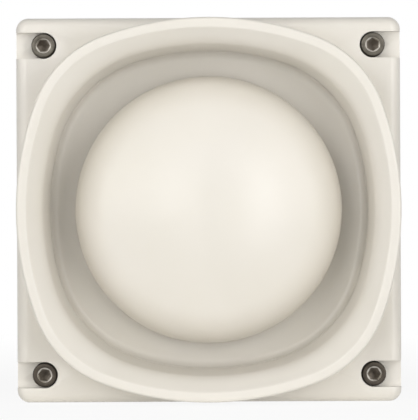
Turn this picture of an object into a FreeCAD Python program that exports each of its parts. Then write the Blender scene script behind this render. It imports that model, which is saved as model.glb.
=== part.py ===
import FreeCAD, Part
import math
import os
import re
import Sketcher

# Outdoor fire alarm siren with a folded horn, in millimetres. Every piece is drawn lying on its
# back: x to the right, y up and z out from the wall. Its Placement then stands it against the
# wall, so that in the finished part +Z is up and the horn faces -Y.

SIZES = {
    # Square housing
    "plan_side": 132.0,
    "plan_corner": 4.2,
    "side_wall": 3.6,
    "inner_corner": 2.0,
    "box_depth": 57.0,
    "box_back": 3.0,
    "box_edge_round": 1.5,
    "skirt_depth": 18.0,
    "flange_wall": 3.2,
    "flange_round": 3.5,
    "seam_chamfer": 0.5,
    "pillar_side": 16.0,
    "pillar_round": 4.0,
    # Seal between the box and the cover
    "seal_inset": 1.0,
    "seal_width": 1.6,
    "seal_height": 1.8,
    "seal_groove_depth": 2.2,
    "seal_clearance": 0.05,
    # Cover screws, their seals and inserts
    "screw_inset": 9.5,
    "screw_radius": 2.5,
    "screw_length": 25.0,
    "screw_point": 0.8,
    "screw_head_radius": 4.25,
    "screw_head_height": 5.0,
    "screw_head_chamfer": 0.4,
    "screw_head_clearance": 0.4,
    "screw_hole_clearance": 0.25,
    "screw_spare_hole": 5.0,
    "socket_reach": 2.31,
    "socket_depth": 2.6,
    "socket_countersink": 0.35,
    "screw_seal_height": 0.8,
    "insert_radius": 3.5,
    "insert_length": 10.0,
    "insert_sink": 0.5,
    "insert_waist": 0.6,
    "insert_collar": 3.0,
    "thread_clearance": 0.05,
    # Horn mouth: half width, how far the side arcs are set back and the corner arcs cut in
    "horn_rise": 20.0,
    "horn_depth": 38.0,
    "rim_inset": 0.8,
    "rim_band": 3.4,
    "rim_draft": 0.4,
    "rim_round": 1.0,
    "mouth_set_back": 39.3,
    "mouth_corner_cut": 27.2,
    "lip_depth": 6.0,
    "lip_step": 5.3,
    "lip_round": 1.5,
    "lip_set_back": 30.5,
    "lip_corner_cut": 16.4,
    "sump_rise": 3.0,
    "sump_step": 1.5,
    "sump_set_back": 30.0,
    "sump_corner_cut": 14.6,
    "sump_round": 2.5,
    "bowl_wall": 2.8,
    # Throat tube in the floor of the horn
    "throat_entry": 7.0,
    "throat_exit": 9.5,
    "throat_base": 13.0,
    "throat_tip": 11.7,
    "throat_length": 21.0,
    "throat_seat": 11.0,
    "throat_seat_clearance": 0.05,
    "throat_collar": 16.5,
    "throat_collar_height": 2.0,
    "throat_foot_round": 1.5,
    # Dome in front of the throat
    "dome_sink": 2.0,
    "dome_radius": 46.0,
    "dome_crown": 26.0,
    "dome_shoulder": 20.0,
    "dome_skirt": 3.0,
    "dome_wall": 2.5,
    "dome_leg_circle": 37.5,
    "dome_leg_radius": 3.5,
    "dome_leg_count": 3.0,
    "dome_screw_radius": 1.75,
    "dome_screw_length": 12.0,
    "dome_screw_head": 3.5,
    "dome_screw_head_height": 2.4,
    "dome_screw_clearance": 0.2,
    # Driver behind the horn
    "driver_gasket_height": 1.0,
    "driver_flange": 33.0,
    "driver_body": 25.0,
    "driver_screw_circle": 28.8,
    "driver_screw_radius": 1.5,
    "driver_screw_head": 2.9,
    "driver_screw_head_height": 2.2,
    "driver_screw_length": 14.0,
    "driver_screw_clearance": 0.25,
    "driver_boss_radius": 4.0,
    "driver_boss_rise": 6.0,
    "throat_plate_height": 4.5,
    "throat_plate_mouth": 16.0,
    "throat_plate_clearance": 0.5,
    "film_radius": 21.0,
    "film_thickness": 0.3,
    "film_dome": 12.9,
    "film_dome_rise": 3.2,
    "film_roll": 15.8,
    "film_roll_radius": 1.6,
    "film_lift": 0.8,
    "coil_radius": 13.1,
    "coil_thickness": 0.5,
    "coil_length": 5.2,
    "coil_gap": 0.3,
    "top_plate_height": 3.5,
    "magnet_radius": 22.5,
    "magnet_bore": 15.0,
    "magnet_height": 8.0,
    "yoke_radius": 21.5,
    "yoke_height": 3.5,
    "yoke_vent": 3.0,
    "pole_sink": 0.5,
    "cap_wall": 1.8,
    "cap_back": 2.0,
    "cap_flange": 2.0,
    "cap_round": 2.0,
    "tag_width": 2.8,
    "tag_thickness": 0.5,
    "tag_length": 7.0,
    "tag_start": 23.6,
    "tag_pitch": 6.0,
    "tag_drop": 5.7,
    # Circuit board and its screws
    "board_width": 84.0,
    "board_height": 80.0,
    "board_thickness": 1.6,
    "board_corner": 2.0,
    "board_stand": 8.0,
    "board_hole_inset": 5.0,
    "standoff_radius": 3.5,
    "board_screw_radius": 1.25,
    "board_screw_length": 6.0,
    "board_screw_head": 2.5,
    "board_screw_head_height": 1.6,
    "board_screw_clearance": 0.25,
    "head_taper": 0.75,
    "cross_slot": 0.6,
    # Supply terminal block
    "ways": 6.0,
    "way_pitch": 5.08,
    "block_depth": 10.0,
    "block_height": 12.0,
    "block_y": -32.5,
    "block_mouth_width": 3.9,
    "block_mouth_height": 4.4,
    "block_mouth_rise": 1.4,
    "block_mouth_reach": 7.4,
    "block_well_radius": 1.95,
    "clamp_wall": 0.5,
    "clamp_clearance": 0.1,
    "clamp_depth": 5.0,
    "terminal_screw_head": 1.8,
    "terminal_screw_head_height": 1.6,
    "terminal_screw_radius": 1.3,
    "terminal_screw_length": 5.0,
    "terminal_screw_sink": 1.0,
    "terminal_slot_width": 0.6,
    "terminal_slot_depth": 0.8,
    # Tone switches
    "levers": 5.0,
    "lever_pitch": 2.54,
    "switch_x": -33.0,
    "switch_y": 2.0,
    "switch_width": 6.6,
    "switch_height": 5.0,
    "switch_skin": 0.9,
    "lever_width": 1.2,
    "lever_length": 1.6,
    "lever_foot": 2.8,
    "lever_foot_height": 1.0,
    "lever_proud": 0.9,
    "lever_travel": 1.6,
    "lever_clearance": 0.1,
    # Volume control
    "control_x": 33.0,
    "control_y": 8.0,
    "control_side": 9.5,
    "control_height": 5.0,
    "rotor_radius": 3.0,
    "rotor_stem": 1.6,
    "rotor_stem_length": 1.4,
    "rotor_height": 2.4,
    "rotor_proud": 0.6,
    "rotor_slot_width": 0.8,
    "rotor_slot_depth": 1.0,
    "rotor_clearance": 0.06,
    # Parts soldered on the board
    "capacitor_radius": 5.0,
    "capacitor_height": 16.0,
    "capacitor_x": -29.0,
    "capacitor_y": 25.0,
    "capacitor_step_x": 13.0,
    "capacitor_step_y": 7.0,
    "capacitor_round": 0.8,
    "capacitor_crimp": 2.0,
    "inductor_x": 24.0,
    "inductor_y": 28.0,
    "inductor_radius": 7.0,
    "inductor_neck": 3.5,
    "inductor_flange": 1.6,
    "inductor_height": 11.0,
    "winding_sink": 0.6,
    "transistor_x": 6.0,
    "transistor_y": 34.0,
    "transistor_width": 10.0,
    "transistor_thickness": 4.4,
    "transistor_height": 9.0,
    "transistor_tab": 6.0,
    "transistor_tab_thickness": 1.3,
    "transistor_tab_hole": 1.8,
    "transistor_lift": 3.0,
    "leg_width": 0.9,
    "leg_thickness": 0.5,
    "chip_x": 0.0,
    "chip_y": 4.0,
    "chip_width": 7.5,
    "chip_length": 12.8,
    "chip_height": 2.3,
    "chip_lift": 0.2,
    "chip_leg": 0.2,
    "chip_leg_pitch": 1.27,
    "chip_legs": 8.0,
    "chip_leg_reach": 1.4,
    "rectifier_x": -22.0,
    "rectifier_y": -14.0,
    "rectifier_side": 6.4,
    "rectifier_height": 2.6,
    "rectifier_leg": 1.2,
    "small_length": 3.2,
    "small_width": 1.6,
    "small_height": 1.0,
    "small_row_x": 15.0,
    "small_row_y": -12.0,
    "small_pitch": 4.0,
    "small_count": 5.0,
    # Driver lead
    "socket_x": 36.0,
    "socket_y": -16.0,
    "socket_width": 5.8,
    "socket_length": 7.5,
    "socket_height": 6.0,
    "socket_wall": 0.9,
    "socket_floor": 2.4,
    "lead_pitch": 2.5,
    "pin_side": 0.6,
    "plug_height": 8.0,
    "plug_clearance": 0.1,
    "wire_radius": 0.7,
    "wire_entry": 2.8,
    # Wall fixings and cable entries
    "fixing_inset": 20.0,
    "fixing_radius": 2.5,
    "fixing_collar": 5.0,
    "fixing_collar_height": 2.0,
    "entry_inset": 15.0,
    "entry_radius": 7.0,
    "grommet_lip": 1.8,
    "grommet_lip_height": 1.4,
    "grommet_membrane": 0.8,
    "grommet_sink": 0.4,
    "grommet_clearance": 0.05,
    "knockout_x": 24.0,
    "knockout_depth": 30.0,
    "knockout_radius": 10.2,
    "knockout_line": 0.8,
    "knockout_cut": 2.0,
}

doc = FreeCAD.newDocument("outdoor_siren")
sheet = doc.addObject("Spreadsheet::Sheet", "Sizes")
for row, (name, size) in enumerate(SIZES.items(), start=1):
    sheet.set(f"A{row}", name)
    sheet.set(f"B{row}", str(size))
    sheet.setAlias(f"B{row}", name)
doc.recompute()

# Depths from the wall and other places that several pieces share
PLAN_HALF = "(plan_side / 2)"
CAVITY_HALF = "(plan_side / 2 - side_wall)"
SEAM = "box_depth"
FLANGE_FACE = "(box_depth + skirt_depth)"
FLANGE_BACK = "(box_depth + skirt_depth - flange_wall)"
RIM = "(box_depth + skirt_depth + horn_rise)"
FLOOR = f"({RIM} - horn_depth)"
BOWL_BACK = f"({FLOOR} - bowl_wall)"
SUMP_TOP = f"({FLOOR} + sump_rise)"
SCREW_AT = "(plan_side / 2 - screw_inset)"
SCREW_SEAT = f"({FLANGE_FACE} - screw_head_height)"
SLOT_FLOOR = f"({SCREW_SEAT} - screw_seal_height)"
SCREW_TIP = f"({SCREW_SEAT} - screw_length)"
GROOVE_OUTER = f"({PLAN_HALF} - seal_inset)"
GROOVE_INNER = f"({PLAN_HALF} - seal_inset - seal_width)"
PILLAR_FACE = f"({PLAN_HALF} - pillar_side)"
MOUTH_HALF = f"({PLAN_HALF} - rim_inset - rim_band)"
LIP_HALF = f"({MOUTH_HALF} - lip_step)"
SUMP_HALF = f"({LIP_HALF} - sump_step)"
DOME_TOP = f"({RIM} - dome_sink)"
DOME_WAIST = f"({DOME_TOP} - dome_crown)"
DOME_REAR = f"({DOME_WAIST} - dome_skirt)"
THROAT_END = f"({FLOOR} + throat_length)"
PLATE_FRONT = f"({BOWL_BACK} - driver_gasket_height)"
PLATE_BACK = f"({PLATE_FRONT} - throat_plate_height)"
FILM_SEAT = f"({PLATE_BACK} - film_thickness)"
TOP_PLATE_BACK = f"({FILM_SEAT} - top_plate_height)"
MAGNET_BACK = f"({TOP_PLATE_BACK} - magnet_height)"
YOKE_BACK = f"({MAGNET_BACK} - yoke_height)"
CAP_BACK = f"({YOKE_BACK} - cap_back)"
COIL_INNER = "(coil_radius - coil_thickness / 2)"
COIL_OUTER = "(coil_radius + coil_thickness / 2)"
FILM_ROLL_EDGE = "(film_roll + film_roll_radius)"
COIL_BACK = f"({FILM_SEAT} - coil_length)"
TAG_X = "(tag_start + tag_length / 2)"
TAG_DEPTH = f"({PLATE_BACK} - tag_drop)"
TAG_PLACES = ("tag_pitch / 2", "0 - tag_pitch / 2")
BOARD_FACE = "(board_stand + board_thickness)"
BLOCK_TOP = f"({BOARD_FACE} + block_height)"
MOUTH_FLOOR = f"({BOARD_FACE} + block_mouth_rise)"
MOUTH_TOP = f"({MOUTH_FLOOR} + block_mouth_height)"
CLAMP_Y = "(block_y - block_depth / 2 + block_mouth_reach - clamp_clearance - clamp_depth / 2)"
LEAD_PLACES = ("socket_y + lead_pitch / 2", "socket_y - lead_pitch / 2")
PLUG_FOOT = f"({BOARD_FACE} + socket_floor + plug_clearance)"
WIRE_END = f"({PLUG_FOOT} + plug_height - wire_entry)"
SLOT_RADIUS = "(screw_head_radius + screw_head_clearance)"
SLOT_PAST = f"({PLAN_HALF} + screw_head_clearance)"
ENTRY_Y = f"({PLAN_HALF} - entry_inset)"

# Corners of each lead, chosen by hand: some counted from its tag and the rest from its plug. A bend
# takes a share of the shorter run beside it.
RED_FROM_TAG = ((4.6, 0, 0), (7.3, -3.6, -2.6))
RED_FROM_PLUG = ((2.0, 3.8, 9.7), (0, 0, 7.1))
BLACK_FROM_TAG = ((5.2, 0, 0), (9.6, -3.8, -0.4))
BLACK_FROM_PLUG = ((5.8, 11.0, 11.5), (4.8, 5.4, 9.9), (0, 0, 7.3))
WIRE_TRIM = 0.45

UPRIGHT = FreeCAD.Placement(FreeCAD.Vector(), FreeCAD.Rotation(FreeCAD.Vector(1, 0, 0), 90))
SIDES = (1, -1)
pieces = []


def formula(text):
    """Write each size named in a formula as its cell."""
    return re.sub(r"[A-Za-z_]\w*", lambda word: cell_name(word.group()), text)


def cell_name(word):
    return "Sizes." + word if word in SIZES else word


def value(text):
    return float(sheet.evalExpression(formula(text)))


def count(name):
    return round(value(name))


def bind(solid, **formulas):
    for field, text in formulas.items():
        solid.setExpression(field, formula(text))


def place(solid, x, y, z):
    for axis, text in zip("xyz", (x, y, z)):
        solid.setExpression(f".Placement.Base.{axis}", formula(text))


def keep(label, solid):
    """Name a finished piece and stand it against the wall."""
    solid.Label = label
    solid.Placement = UPRIGHT
    pieces.append(solid)


def box(name, length, width, height, x="0", y="0", z="0"):
    """A block centred on x and y that stands on z."""
    solid = doc.addObject("Part::Box", name)
    bind(solid, Length=length, Width=width, Height=height)
    place(solid, f"{x} - ({length}) / 2", f"{y} - ({width}) / 2", z)
    return solid


def cylinder(name, radius, height, x="0", y="0", z="0"):
    solid = doc.addObject("Part::Cylinder", name)
    bind(solid, Radius=radius, Height=height)
    place(solid, x, y, z)
    return solid


def cone(name, radius_low, radius_high, height, x="0", y="0", z="0"):
    solid = doc.addObject("Part::Cone", name)
    bind(solid, Radius1=radius_low, Radius2=radius_high, Height=height)
    place(solid, x, y, z)
    return solid


def fuse(name, solids):
    whole = doc.addObject("Part::MultiFuse", name)
    whole.Shapes = solids
    return whole


def group(name, solids):
    """Several separate solids that are one kind of piece."""
    whole = doc.addObject("Part::Compound", name)
    whole.Links = solids
    return whole


def cut(name, solid, tools):
    """Take one or more tools out of a solid."""
    whole = doc.addObject("Part::Cut", name)
    whole.Base = solid
    whole.Tool = tools[0] if len(tools) == 1 else fuse(name + "_tools", tools)
    return whole


def ring(name, outer, inner, height, x="0", y="0", z="0"):
    blank = cylinder(name + "_blank", outer, height, x, y, z)
    bore = cylinder(name + "_bore", inner, height, x, y, z)
    return cut(name, blank, [bore])


def new_body(name):
    body = doc.addObject("PartDesign::Body", name)
    body.AllowCompound = True
    return body


def origin_part(body, role):
    return next(part for part in body.Origin.OriginFeatures if part.Role == role)


def sketch(body, name, depth="0"):
    """A sketch that faces away from the wall at a depth."""
    drawing = body.newObject("Sketcher::SketchObject", name)
    drawing.AttachmentSupport = [(origin_part(body, "XY_Plane"), "")]
    drawing.MapMode = "FlatFace"
    drawing.setExpression(".AttachmentOffset.Base.z", formula(depth))
    return drawing


def side_sketch(body, name, x="0", y="0"):
    """A sketch across the depth whose upright axis passes through x and y."""
    drawing = body.newObject("Sketcher::SketchObject", name)
    drawing.AttachmentSupport = [(origin_part(body, "XZ_Plane"), "")]
    drawing.MapMode = "FlatFace"
    drawing.setExpression(".AttachmentOffset.Base.x", formula(x))
    drawing.setExpression(".AttachmentOffset.Base.z", formula(f"0 - ({y})"))
    return drawing


def dimension(drawing, kind, *where):
    """Hold one measure of a sketch to a formula, the last argument."""
    *points, text = where
    index = drawing.addConstraint(Sketcher.Constraint(kind, *points, value(text)))
    drawing.setExpression(f"Constraints[{index}]", formula(text))


def tie(drawing, kind, *where):
    drawing.addConstraint(Sketcher.Constraint(kind, *where))


def vector(x, y):
    return FreeCAD.Vector(x, y, 0)


def arc(centre_x, centre_y, radius, first, last):
    circle = Part.Circle(vector(centre_x, centre_y), FreeCAD.Vector(0, 0, 1), radius)
    return Part.ArcOfCircle(circle, first, last)


def draw_circle(drawing, radius, x="0", y="0"):
    circle = Part.Circle(vector(value(x), value(y)), FreeCAD.Vector(0, 0, 1), value(radius))
    index = drawing.addGeometry(circle)
    dimension(drawing, "Radius", index, radius)
    dimension(drawing, "DistanceX", index, 3, x)
    dimension(drawing, "DistanceY", index, 3, y)


def draw_polygon(drawing, corners):
    """Straight sides through corners given as pairs of formulas."""
    ends = [vector(value(x), value(y)) for x, y in corners]
    total = len(ends)
    lines = [Part.LineSegment(ends[k], ends[(k + 1) % total]) for k in range(total)]
    ids = drawing.addGeometry(lines)
    for k, (x, y) in enumerate(corners):
        tie(drawing, "Coincident", ids[k - 1], 2, ids[k], 1)
        dimension(drawing, "DistanceX", ids[k], 1, x)
        dimension(drawing, "DistanceY", ids[k], 1, y)


def draw_rectangle(drawing, half_x, half_y, radius, x="0", y="0"):
    """A rectangle with round corners about a centre."""
    middle_x, middle_y, across, up, round_by = map(value, (x, y, half_x, half_y, radius))
    loop = []
    for k in range(4):
        turn = k * math.pi / 2
        corner_x = middle_x + (across - round_by) * (1 if k in (0, 3) else -1)
        corner_y = middle_y + (up - round_by) * (1 if k in (0, 1) else -1)
        loop.append(arc(corner_x, corner_y, round_by, turn, turn + math.pi / 2))
    sides = [Part.LineSegment(loop[k].EndPoint, loop[(k + 1) % 4].StartPoint) for k in range(4)]
    arcs = drawing.addGeometry(loop)
    lines = drawing.addGeometry(sides)
    for k in range(4):
        tie(drawing, "Tangent", arcs[k], 2, lines[k], 1)
        tie(drawing, "Tangent", lines[k], 2, arcs[(k + 1) % 4], 1)
        tie(drawing, "Horizontal" if k % 2 == 0 else "Vertical", lines[k])
    for k in range(1, 4):
        tie(drawing, "Equal", arcs[0], arcs[k])
    dimension(drawing, "Radius", arcs[0], radius)
    dimension(drawing, "DistanceY", lines[0], 1, f"{y} + {half_y}")
    dimension(drawing, "DistanceX", lines[1], 1, f"{x} - {half_x}")
    dimension(drawing, "DistanceY", lines[2], 1, f"{y} - {half_y}")
    dimension(drawing, "DistanceX", lines[3], 1, f"{x} + {half_x}")


def draw_horn_outline(drawing, half, set_back, corner_cut):
    """Eight tangent arcs: flat ones on the sides, tighter ones round the corners.

    With no set back and no corner cut the outline is a circle, and two outlines that
    differ only in their half width run parallel.
    """
    reach, back, trim = map(value, (half, set_back, corner_cut))
    between = back + trim
    corner = (math.sqrt(2 * between * between - back * back) - back) / 2
    join = math.atan2(corner, corner + back)
    arcs = []
    for k in range(4):
        turn = k * math.pi / 2
        across, up = math.cos(turn), math.sin(turn)
        arcs.append(arc(-back * across, -back * up, reach + back, turn - join, turn + join))
        middle = (corner * (across - up), corner * (up + across))
        arcs.append(arc(*middle, reach - trim, turn + join, turn + math.pi / 2 - join))
    ids = drawing.addGeometry(arcs)
    for k in range(8):
        tie(drawing, "Tangent", ids[k], 2, ids[(k + 1) % 8], 1)
    for k in (2, 4, 6):
        tie(drawing, "Equal", ids[0], ids[k])
        tie(drawing, "Equal", ids[1], ids[k + 1])
    for k, axis, kind, sign in ((0, -1, "DistanceX", "0 -"), (4, -1, "DistanceX", "0 +"),
                                (2, -2, "DistanceY", "0 -"), (6, -2, "DistanceY", "0 +")):
        tie(drawing, "PointOnObject", ids[k], 3, axis)
        dimension(drawing, kind, ids[k], 3, f"{sign} {set_back}")
    dimension(drawing, "Radius", ids[0], f"{half} + {set_back}")
    dimension(drawing, "Radius", ids[1], f"{half} - {corner_cut}")


def horn_outline(body, name, depth, half, section):
    """The horn's outline at a depth, with the arcs of one named section."""
    drawing = sketch(body, name, depth)
    draw_horn_outline(drawing, half, section + "_set_back", section + "_corner_cut")
    return drawing


def draw_screw_slot(drawing, side_x, side_y):
    """A screw pocket with one round end that runs out through the side of the cover."""
    x, y, radius = map(value, (SCREW_AT, SCREW_AT, SLOT_RADIUS))
    x, y, past = side_x * x, side_y * y, side_x * value(SLOT_PAST)
    first = math.pi / 2 if side_x > 0 else -math.pi / 2
    end = drawing.addGeometry(arc(x, y, radius, first, first + math.pi))
    near, far = (radius, -radius) if side_x > 0 else (-radius, radius)
    lines = drawing.addGeometry([
        Part.LineSegment(vector(x, y + far), vector(past, y + far)),
        Part.LineSegment(vector(past, y + far), vector(past, y + near)),
        Part.LineSegment(vector(past, y + near), vector(x, y + near)),
    ])
    tie(drawing, "Tangent", end, 2, lines[0], 1)
    tie(drawing, "Coincident", lines[0], 2, lines[1], 1)
    tie(drawing, "Coincident", lines[1], 2, lines[2], 1)
    tie(drawing, "Tangent", lines[2], 2, end, 1)
    tie(drawing, "Horizontal", lines[0])
    tie(drawing, "Vertical", lines[1])
    dimension(drawing, "Radius", end, SLOT_RADIUS)
    dimension(drawing, "DistanceX", end, 3, f"{side_x} * {SCREW_AT}")
    dimension(drawing, "DistanceY", end, 3, f"{side_y} * {SCREW_AT}")
    dimension(drawing, "DistanceX", lines[1], 1, f"{side_x} * {SLOT_PAST}")


def check_change(body, before, grows):
    """A feature has to have added or removed something."""
    doc.recompute()
    after = body.Shape.Volume
    if (after > before) != grows or abs(after - before) < 1e-6:
        raise RuntimeError(f"{body.Tip.Name} changed nothing")


def pad(body, name, drawing, length, backwards=False):
    before = body.Shape.Volume if body.Tip else 0.0
    made = body.newObject("PartDesign::Pad", name)
    made.Profile = drawing
    made.Reversed = backwards
    bind(made, Length=length)
    check_change(body, before, True)
    return made


def pocket(body, name, drawing, length, forwards=False):
    """Cut towards the wall, or away from it where forwards is set."""
    before = body.Shape.Volume
    made = body.newObject("PartDesign::Pocket", name)
    made.Profile = drawing
    made.Reversed = forwards
    bind(made, Length=length)
    check_change(body, before, False)
    return made


def revolve(body, name, corners, x="0", y="0", cuts=False):
    """Turn a profile of radius and depth pairs about an axis square to the wall."""
    before = body.Shape.Volume if body.Tip else 0.0
    drawing = side_sketch(body, name + "_profile", x, y)
    draw_polygon(drawing, corners)
    made = body.newObject("PartDesign::Groove" if cuts else "PartDesign::Revolution", name)
    made.Profile = drawing
    made.ReferenceAxis = (drawing, ["V_Axis"])
    made.Angle = 360
    check_change(body, before, not cuts)
    return made


def loft(body, name, drawings, cuts=False):
    before = body.Shape.Volume
    made = body.newObject("PartDesign::SubtractiveLoft" if cuts else "PartDesign::AdditiveLoft", name)
    made.Profile = drawings[0]
    made.Sections = drawings[1:]
    check_change(body, before, not cuts)
    return made


def pattern_round(body, name, originals, copies):
    """Repeat features about the middle of the housing."""
    made = body.newObject("PartDesign::PolarPattern", name)
    made.Originals = originals
    made.Axis = (origin_part(body, "Z_Axis"), [""])
    made.Angle = 360
    made.Occurrences = copies
    body.Tip = made
    doc.recompute()
    return made


def edges_at(shape, depth, wanted=None):
    """Names of the edges that lie flat at a depth and pass a test."""
    names = []
    for number, edge in enumerate(shape.Edges, start=1):
        limits = edge.BoundBox
        flat = abs(limits.ZMin - depth) < 1e-4 and abs(limits.ZMax - depth) < 1e-4
        if flat and (wanted is None or wanted(edge)):
            names.append(f"Edge{number}")
    return names


def dress(body, kind, name, base, edges, **formulas):
    """Round or chamfer named edges of the last feature."""
    made = body.newObject("PartDesign::" + kind, name)
    made.Base = (base, edges)
    bind(made, **formulas)
    doc.recompute()
    if made.Shape.isNull() or not made.isValid():
        raise RuntimeError(f"{name} failed on {len(edges)} edges")
    return made


def reach_of(edge):
    """The largest distance of an edge from the middle of the housing along x or y."""
    limits = edge.BoundBox
    return max(limits.XMax, -limits.XMin, limits.YMax, -limits.YMin)


def make_back_box():
    body = new_body("back_box")
    outline = sketch(body, "box_outline")
    draw_rectangle(outline, PLAN_HALF, PLAN_HALF, "plan_corner")
    shell = pad(body, "box_blank", outline, SEAM)
    dress(body, "Fillet", "box_back_edge", shell, edges_at(shell.Shape, 0), Radius="box_edge_round")
    rear = body.Tip
    seam_edges = edges_at(rear.Shape, value(SEAM))
    dress(body, "Chamfer", "box_seam_edge", rear, seam_edges, Size="seam_chamfer")
    cavity = sketch(body, "box_cavity_outline", SEAM)
    draw_rectangle(cavity, CAVITY_HALF, CAVITY_HALF, "inner_corner")
    pocket(body, "box_cavity", cavity, f"{SEAM} - box_back")
    pillars = sketch(body, "box_pillar_outlines", "box_back / 2")
    draw_pillars(pillars)
    pad(body, "box_pillars", pillars, f"{SEAM} - box_back / 2")
    groove = sketch(body, "seal_groove_outline", SEAM)
    draw_seal_ring(groove, "0")
    pocket(body, "seal_groove", groove, "seal_groove_depth")
    inserts = sketch(body, "insert_hole_outlines", SEAM)
    draw_screw_circles(inserts, "insert_radius + seal_clearance")
    pocket(body, "insert_holes", inserts, "insert_sink + insert_length + seal_clearance")
    tips = sketch(body, "screw_tip_outlines", SEAM)
    draw_screw_circles(tips, "screw_radius + screw_hole_clearance")
    pocket(body, "screw_tip_holes", tips, f"{SEAM} - {SCREW_TIP} + screw_spare_hole")
    add_back_features(body)
    add_knockouts(body)
    keep("back_box", body)


def draw_pillars(drawing):
    """Solid corners for the cover screws, sunk half way into the side walls."""
    outer = f"({PLAN_HALF} - side_wall / 2)"
    half = f"(({outer} - {PILLAR_FACE}) / 2)"
    for side_x in SIDES:
        for side_y in SIDES:
            middle = f"({outer} + {PILLAR_FACE}) / 2"
            x, y = f"{side_x} * {middle}", f"{side_y} * {middle}"
            draw_rectangle(drawing, half, half, "pillar_round", x, y)


def draw_seal_ring(drawing, clearance):
    """The closed path of the seal, between two round-cornered squares."""
    outer = f"({GROOVE_OUTER} - {clearance})"
    inner = f"({GROOVE_INNER} + {clearance})"
    draw_rectangle(drawing, outer, outer, f"plan_corner - seal_inset - {clearance}")
    corner = f"plan_corner - seal_inset - seal_width + {clearance}"
    draw_rectangle(drawing, inner, inner, corner)


def draw_screw_circles(drawing, radius):
    for side_x in SIDES:
        for side_y in SIDES:
            draw_circle(drawing, radius, f"{side_x} * {SCREW_AT}", f"{side_y} * {SCREW_AT}")


def board_holes():
    """Places of the four board screws."""
    x = "(board_width / 2 - board_hole_inset)"
    y = "(board_height / 2 - board_hole_inset)"
    return [(f"{side_x} * {x}", f"{side_y} * {y}") for side_x in SIDES for side_y in SIDES]


def add_back_features(body):
    """Board stand-offs, fixing holes with collars and the rear cable entry."""
    stands = sketch(body, "standoff_outlines", "box_back / 2")
    for x, y in board_holes():
        draw_circle(stands, "standoff_radius", x, y)
    pad(body, "standoffs", stands, "board_stand - box_back / 2")
    reach = f"({PLAN_HALF} - fixing_inset)"
    fixings = [(f"{side_x} * {reach}", f"{side_y} * {reach}") for side_x in SIDES for side_y in SIDES]
    collars = sketch(body, "fixing_collar_outlines", "box_back / 2")
    for x, y in fixings:
        draw_circle(collars, "fixing_collar", x, y)
    pad(body, "fixing_collars", collars, "box_back / 2 + fixing_collar_height")
    pilots = sketch(body, "standoff_pilot_outlines", "board_stand")
    for x, y in board_holes():
        draw_circle(pilots, "board_screw_radius + thread_clearance", x, y)
    pocket(body, "standoff_pilots", pilots, "board_screw_length - board_thickness + seal_clearance")
    holes = sketch(body, "fixing_hole_outlines", "box_back + fixing_collar_height")
    for x, y in fixings:
        draw_circle(holes, "fixing_radius", x, y)
    pocket(body, "fixing_holes", holes, "box_back + fixing_collar_height")
    entry = sketch(body, "entry_outline", "box_back")
    draw_circle(entry, "entry_radius", "0", ENTRY_Y)
    pocket(body, "entry_hole", entry, "box_back")


def add_knockouts(body):
    """Two round knock-outs for cable glands, scored into the underside."""
    drawing = body.newObject("Sketcher::SketchObject", "knockout_outlines")
    drawing.AttachmentSupport = [(origin_part(body, "XZ_Plane"), "")]
    drawing.MapMode = "FlatFace"
    drawing.setExpression(".AttachmentOffset.Base.z", formula(PLAN_HALF))
    for side in SIDES:
        draw_circle(drawing, "knockout_radius", f"{side} * knockout_x", "knockout_depth")
        draw_circle(drawing, "knockout_radius - knockout_line", f"{side} * knockout_x", "knockout_depth")
    pocket(body, "knockouts", drawing, "knockout_cut")


# Seal, inserts and cover screws
def make_cover_gasket():
    body = new_body("cover_gasket")
    drawing = sketch(body, "gasket_outline", f"{SEAM} - seal_groove_depth")
    draw_seal_ring(drawing, "seal_clearance")
    pad(body, "gasket_ring", drawing, "seal_height")
    keep("cover_gasket", body)


def make_threaded_inserts():
    body = new_body("threaded_inserts")
    top = f"({SEAM} - insert_sink)"
    foot = f"({top} - insert_length)"
    waist = "insert_radius - insert_waist"
    bore = "screw_radius + thread_clearance"
    insert = revolve(body, "insert", [
        (bore, foot), ("insert_radius", foot), ("insert_radius", f"{foot} + insert_collar"),
        (waist, f"{foot} + insert_collar + insert_waist"),
        (waist, f"{top} - insert_collar - insert_waist"),
        ("insert_radius", f"{top} - insert_collar"), ("insert_radius", top), (bore, top),
    ], SCREW_AT, SCREW_AT)
    pattern_round(body, "insert_copies", [insert], 4)
    keep("threaded_inserts", body)


def make_cover_screws():
    """Four socket-head screws, turned, with a countersunk hexagon socket."""
    body = new_body("cover_screws")
    top = FLANGE_FACE
    turned = revolve(body, "screw_blank", [
        ("0", SCREW_TIP), ("screw_radius - screw_point", SCREW_TIP),
        ("screw_radius", f"{SCREW_TIP} + screw_point"), ("screw_radius", SCREW_SEAT),
        ("screw_head_radius", SCREW_SEAT), ("screw_head_radius", f"{top} - screw_head_chamfer"),
        ("screw_head_radius - screw_head_chamfer", top), ("0", top),
    ], SCREW_AT, SCREW_AT)
    drawing = sketch(body, "socket_outline", top)
    corners = []
    for k in range(6):
        turn = math.radians(60 * k)
        corners.append((f"{SCREW_AT} + socket_reach * {math.cos(turn):.6f}",
                        f"{SCREW_AT} + socket_reach * {math.sin(turn):.6f}"))
    draw_polygon(drawing, corners)
    socket = pocket(body, "socket", drawing, "socket_depth")
    countersink = revolve(body, "socket_countersink_cut", [
        ("0", f"{top} - socket_countersink"),
        ("socket_reach - socket_countersink / 2", f"{top} - socket_countersink"),
        ("socket_reach + socket_countersink / 2", top), ("0", top),
    ], SCREW_AT, SCREW_AT, cuts=True)
    pattern_round(body, "screw_copies", [turned, socket, countersink], 4)
    keep("cover_screws", body)


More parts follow.
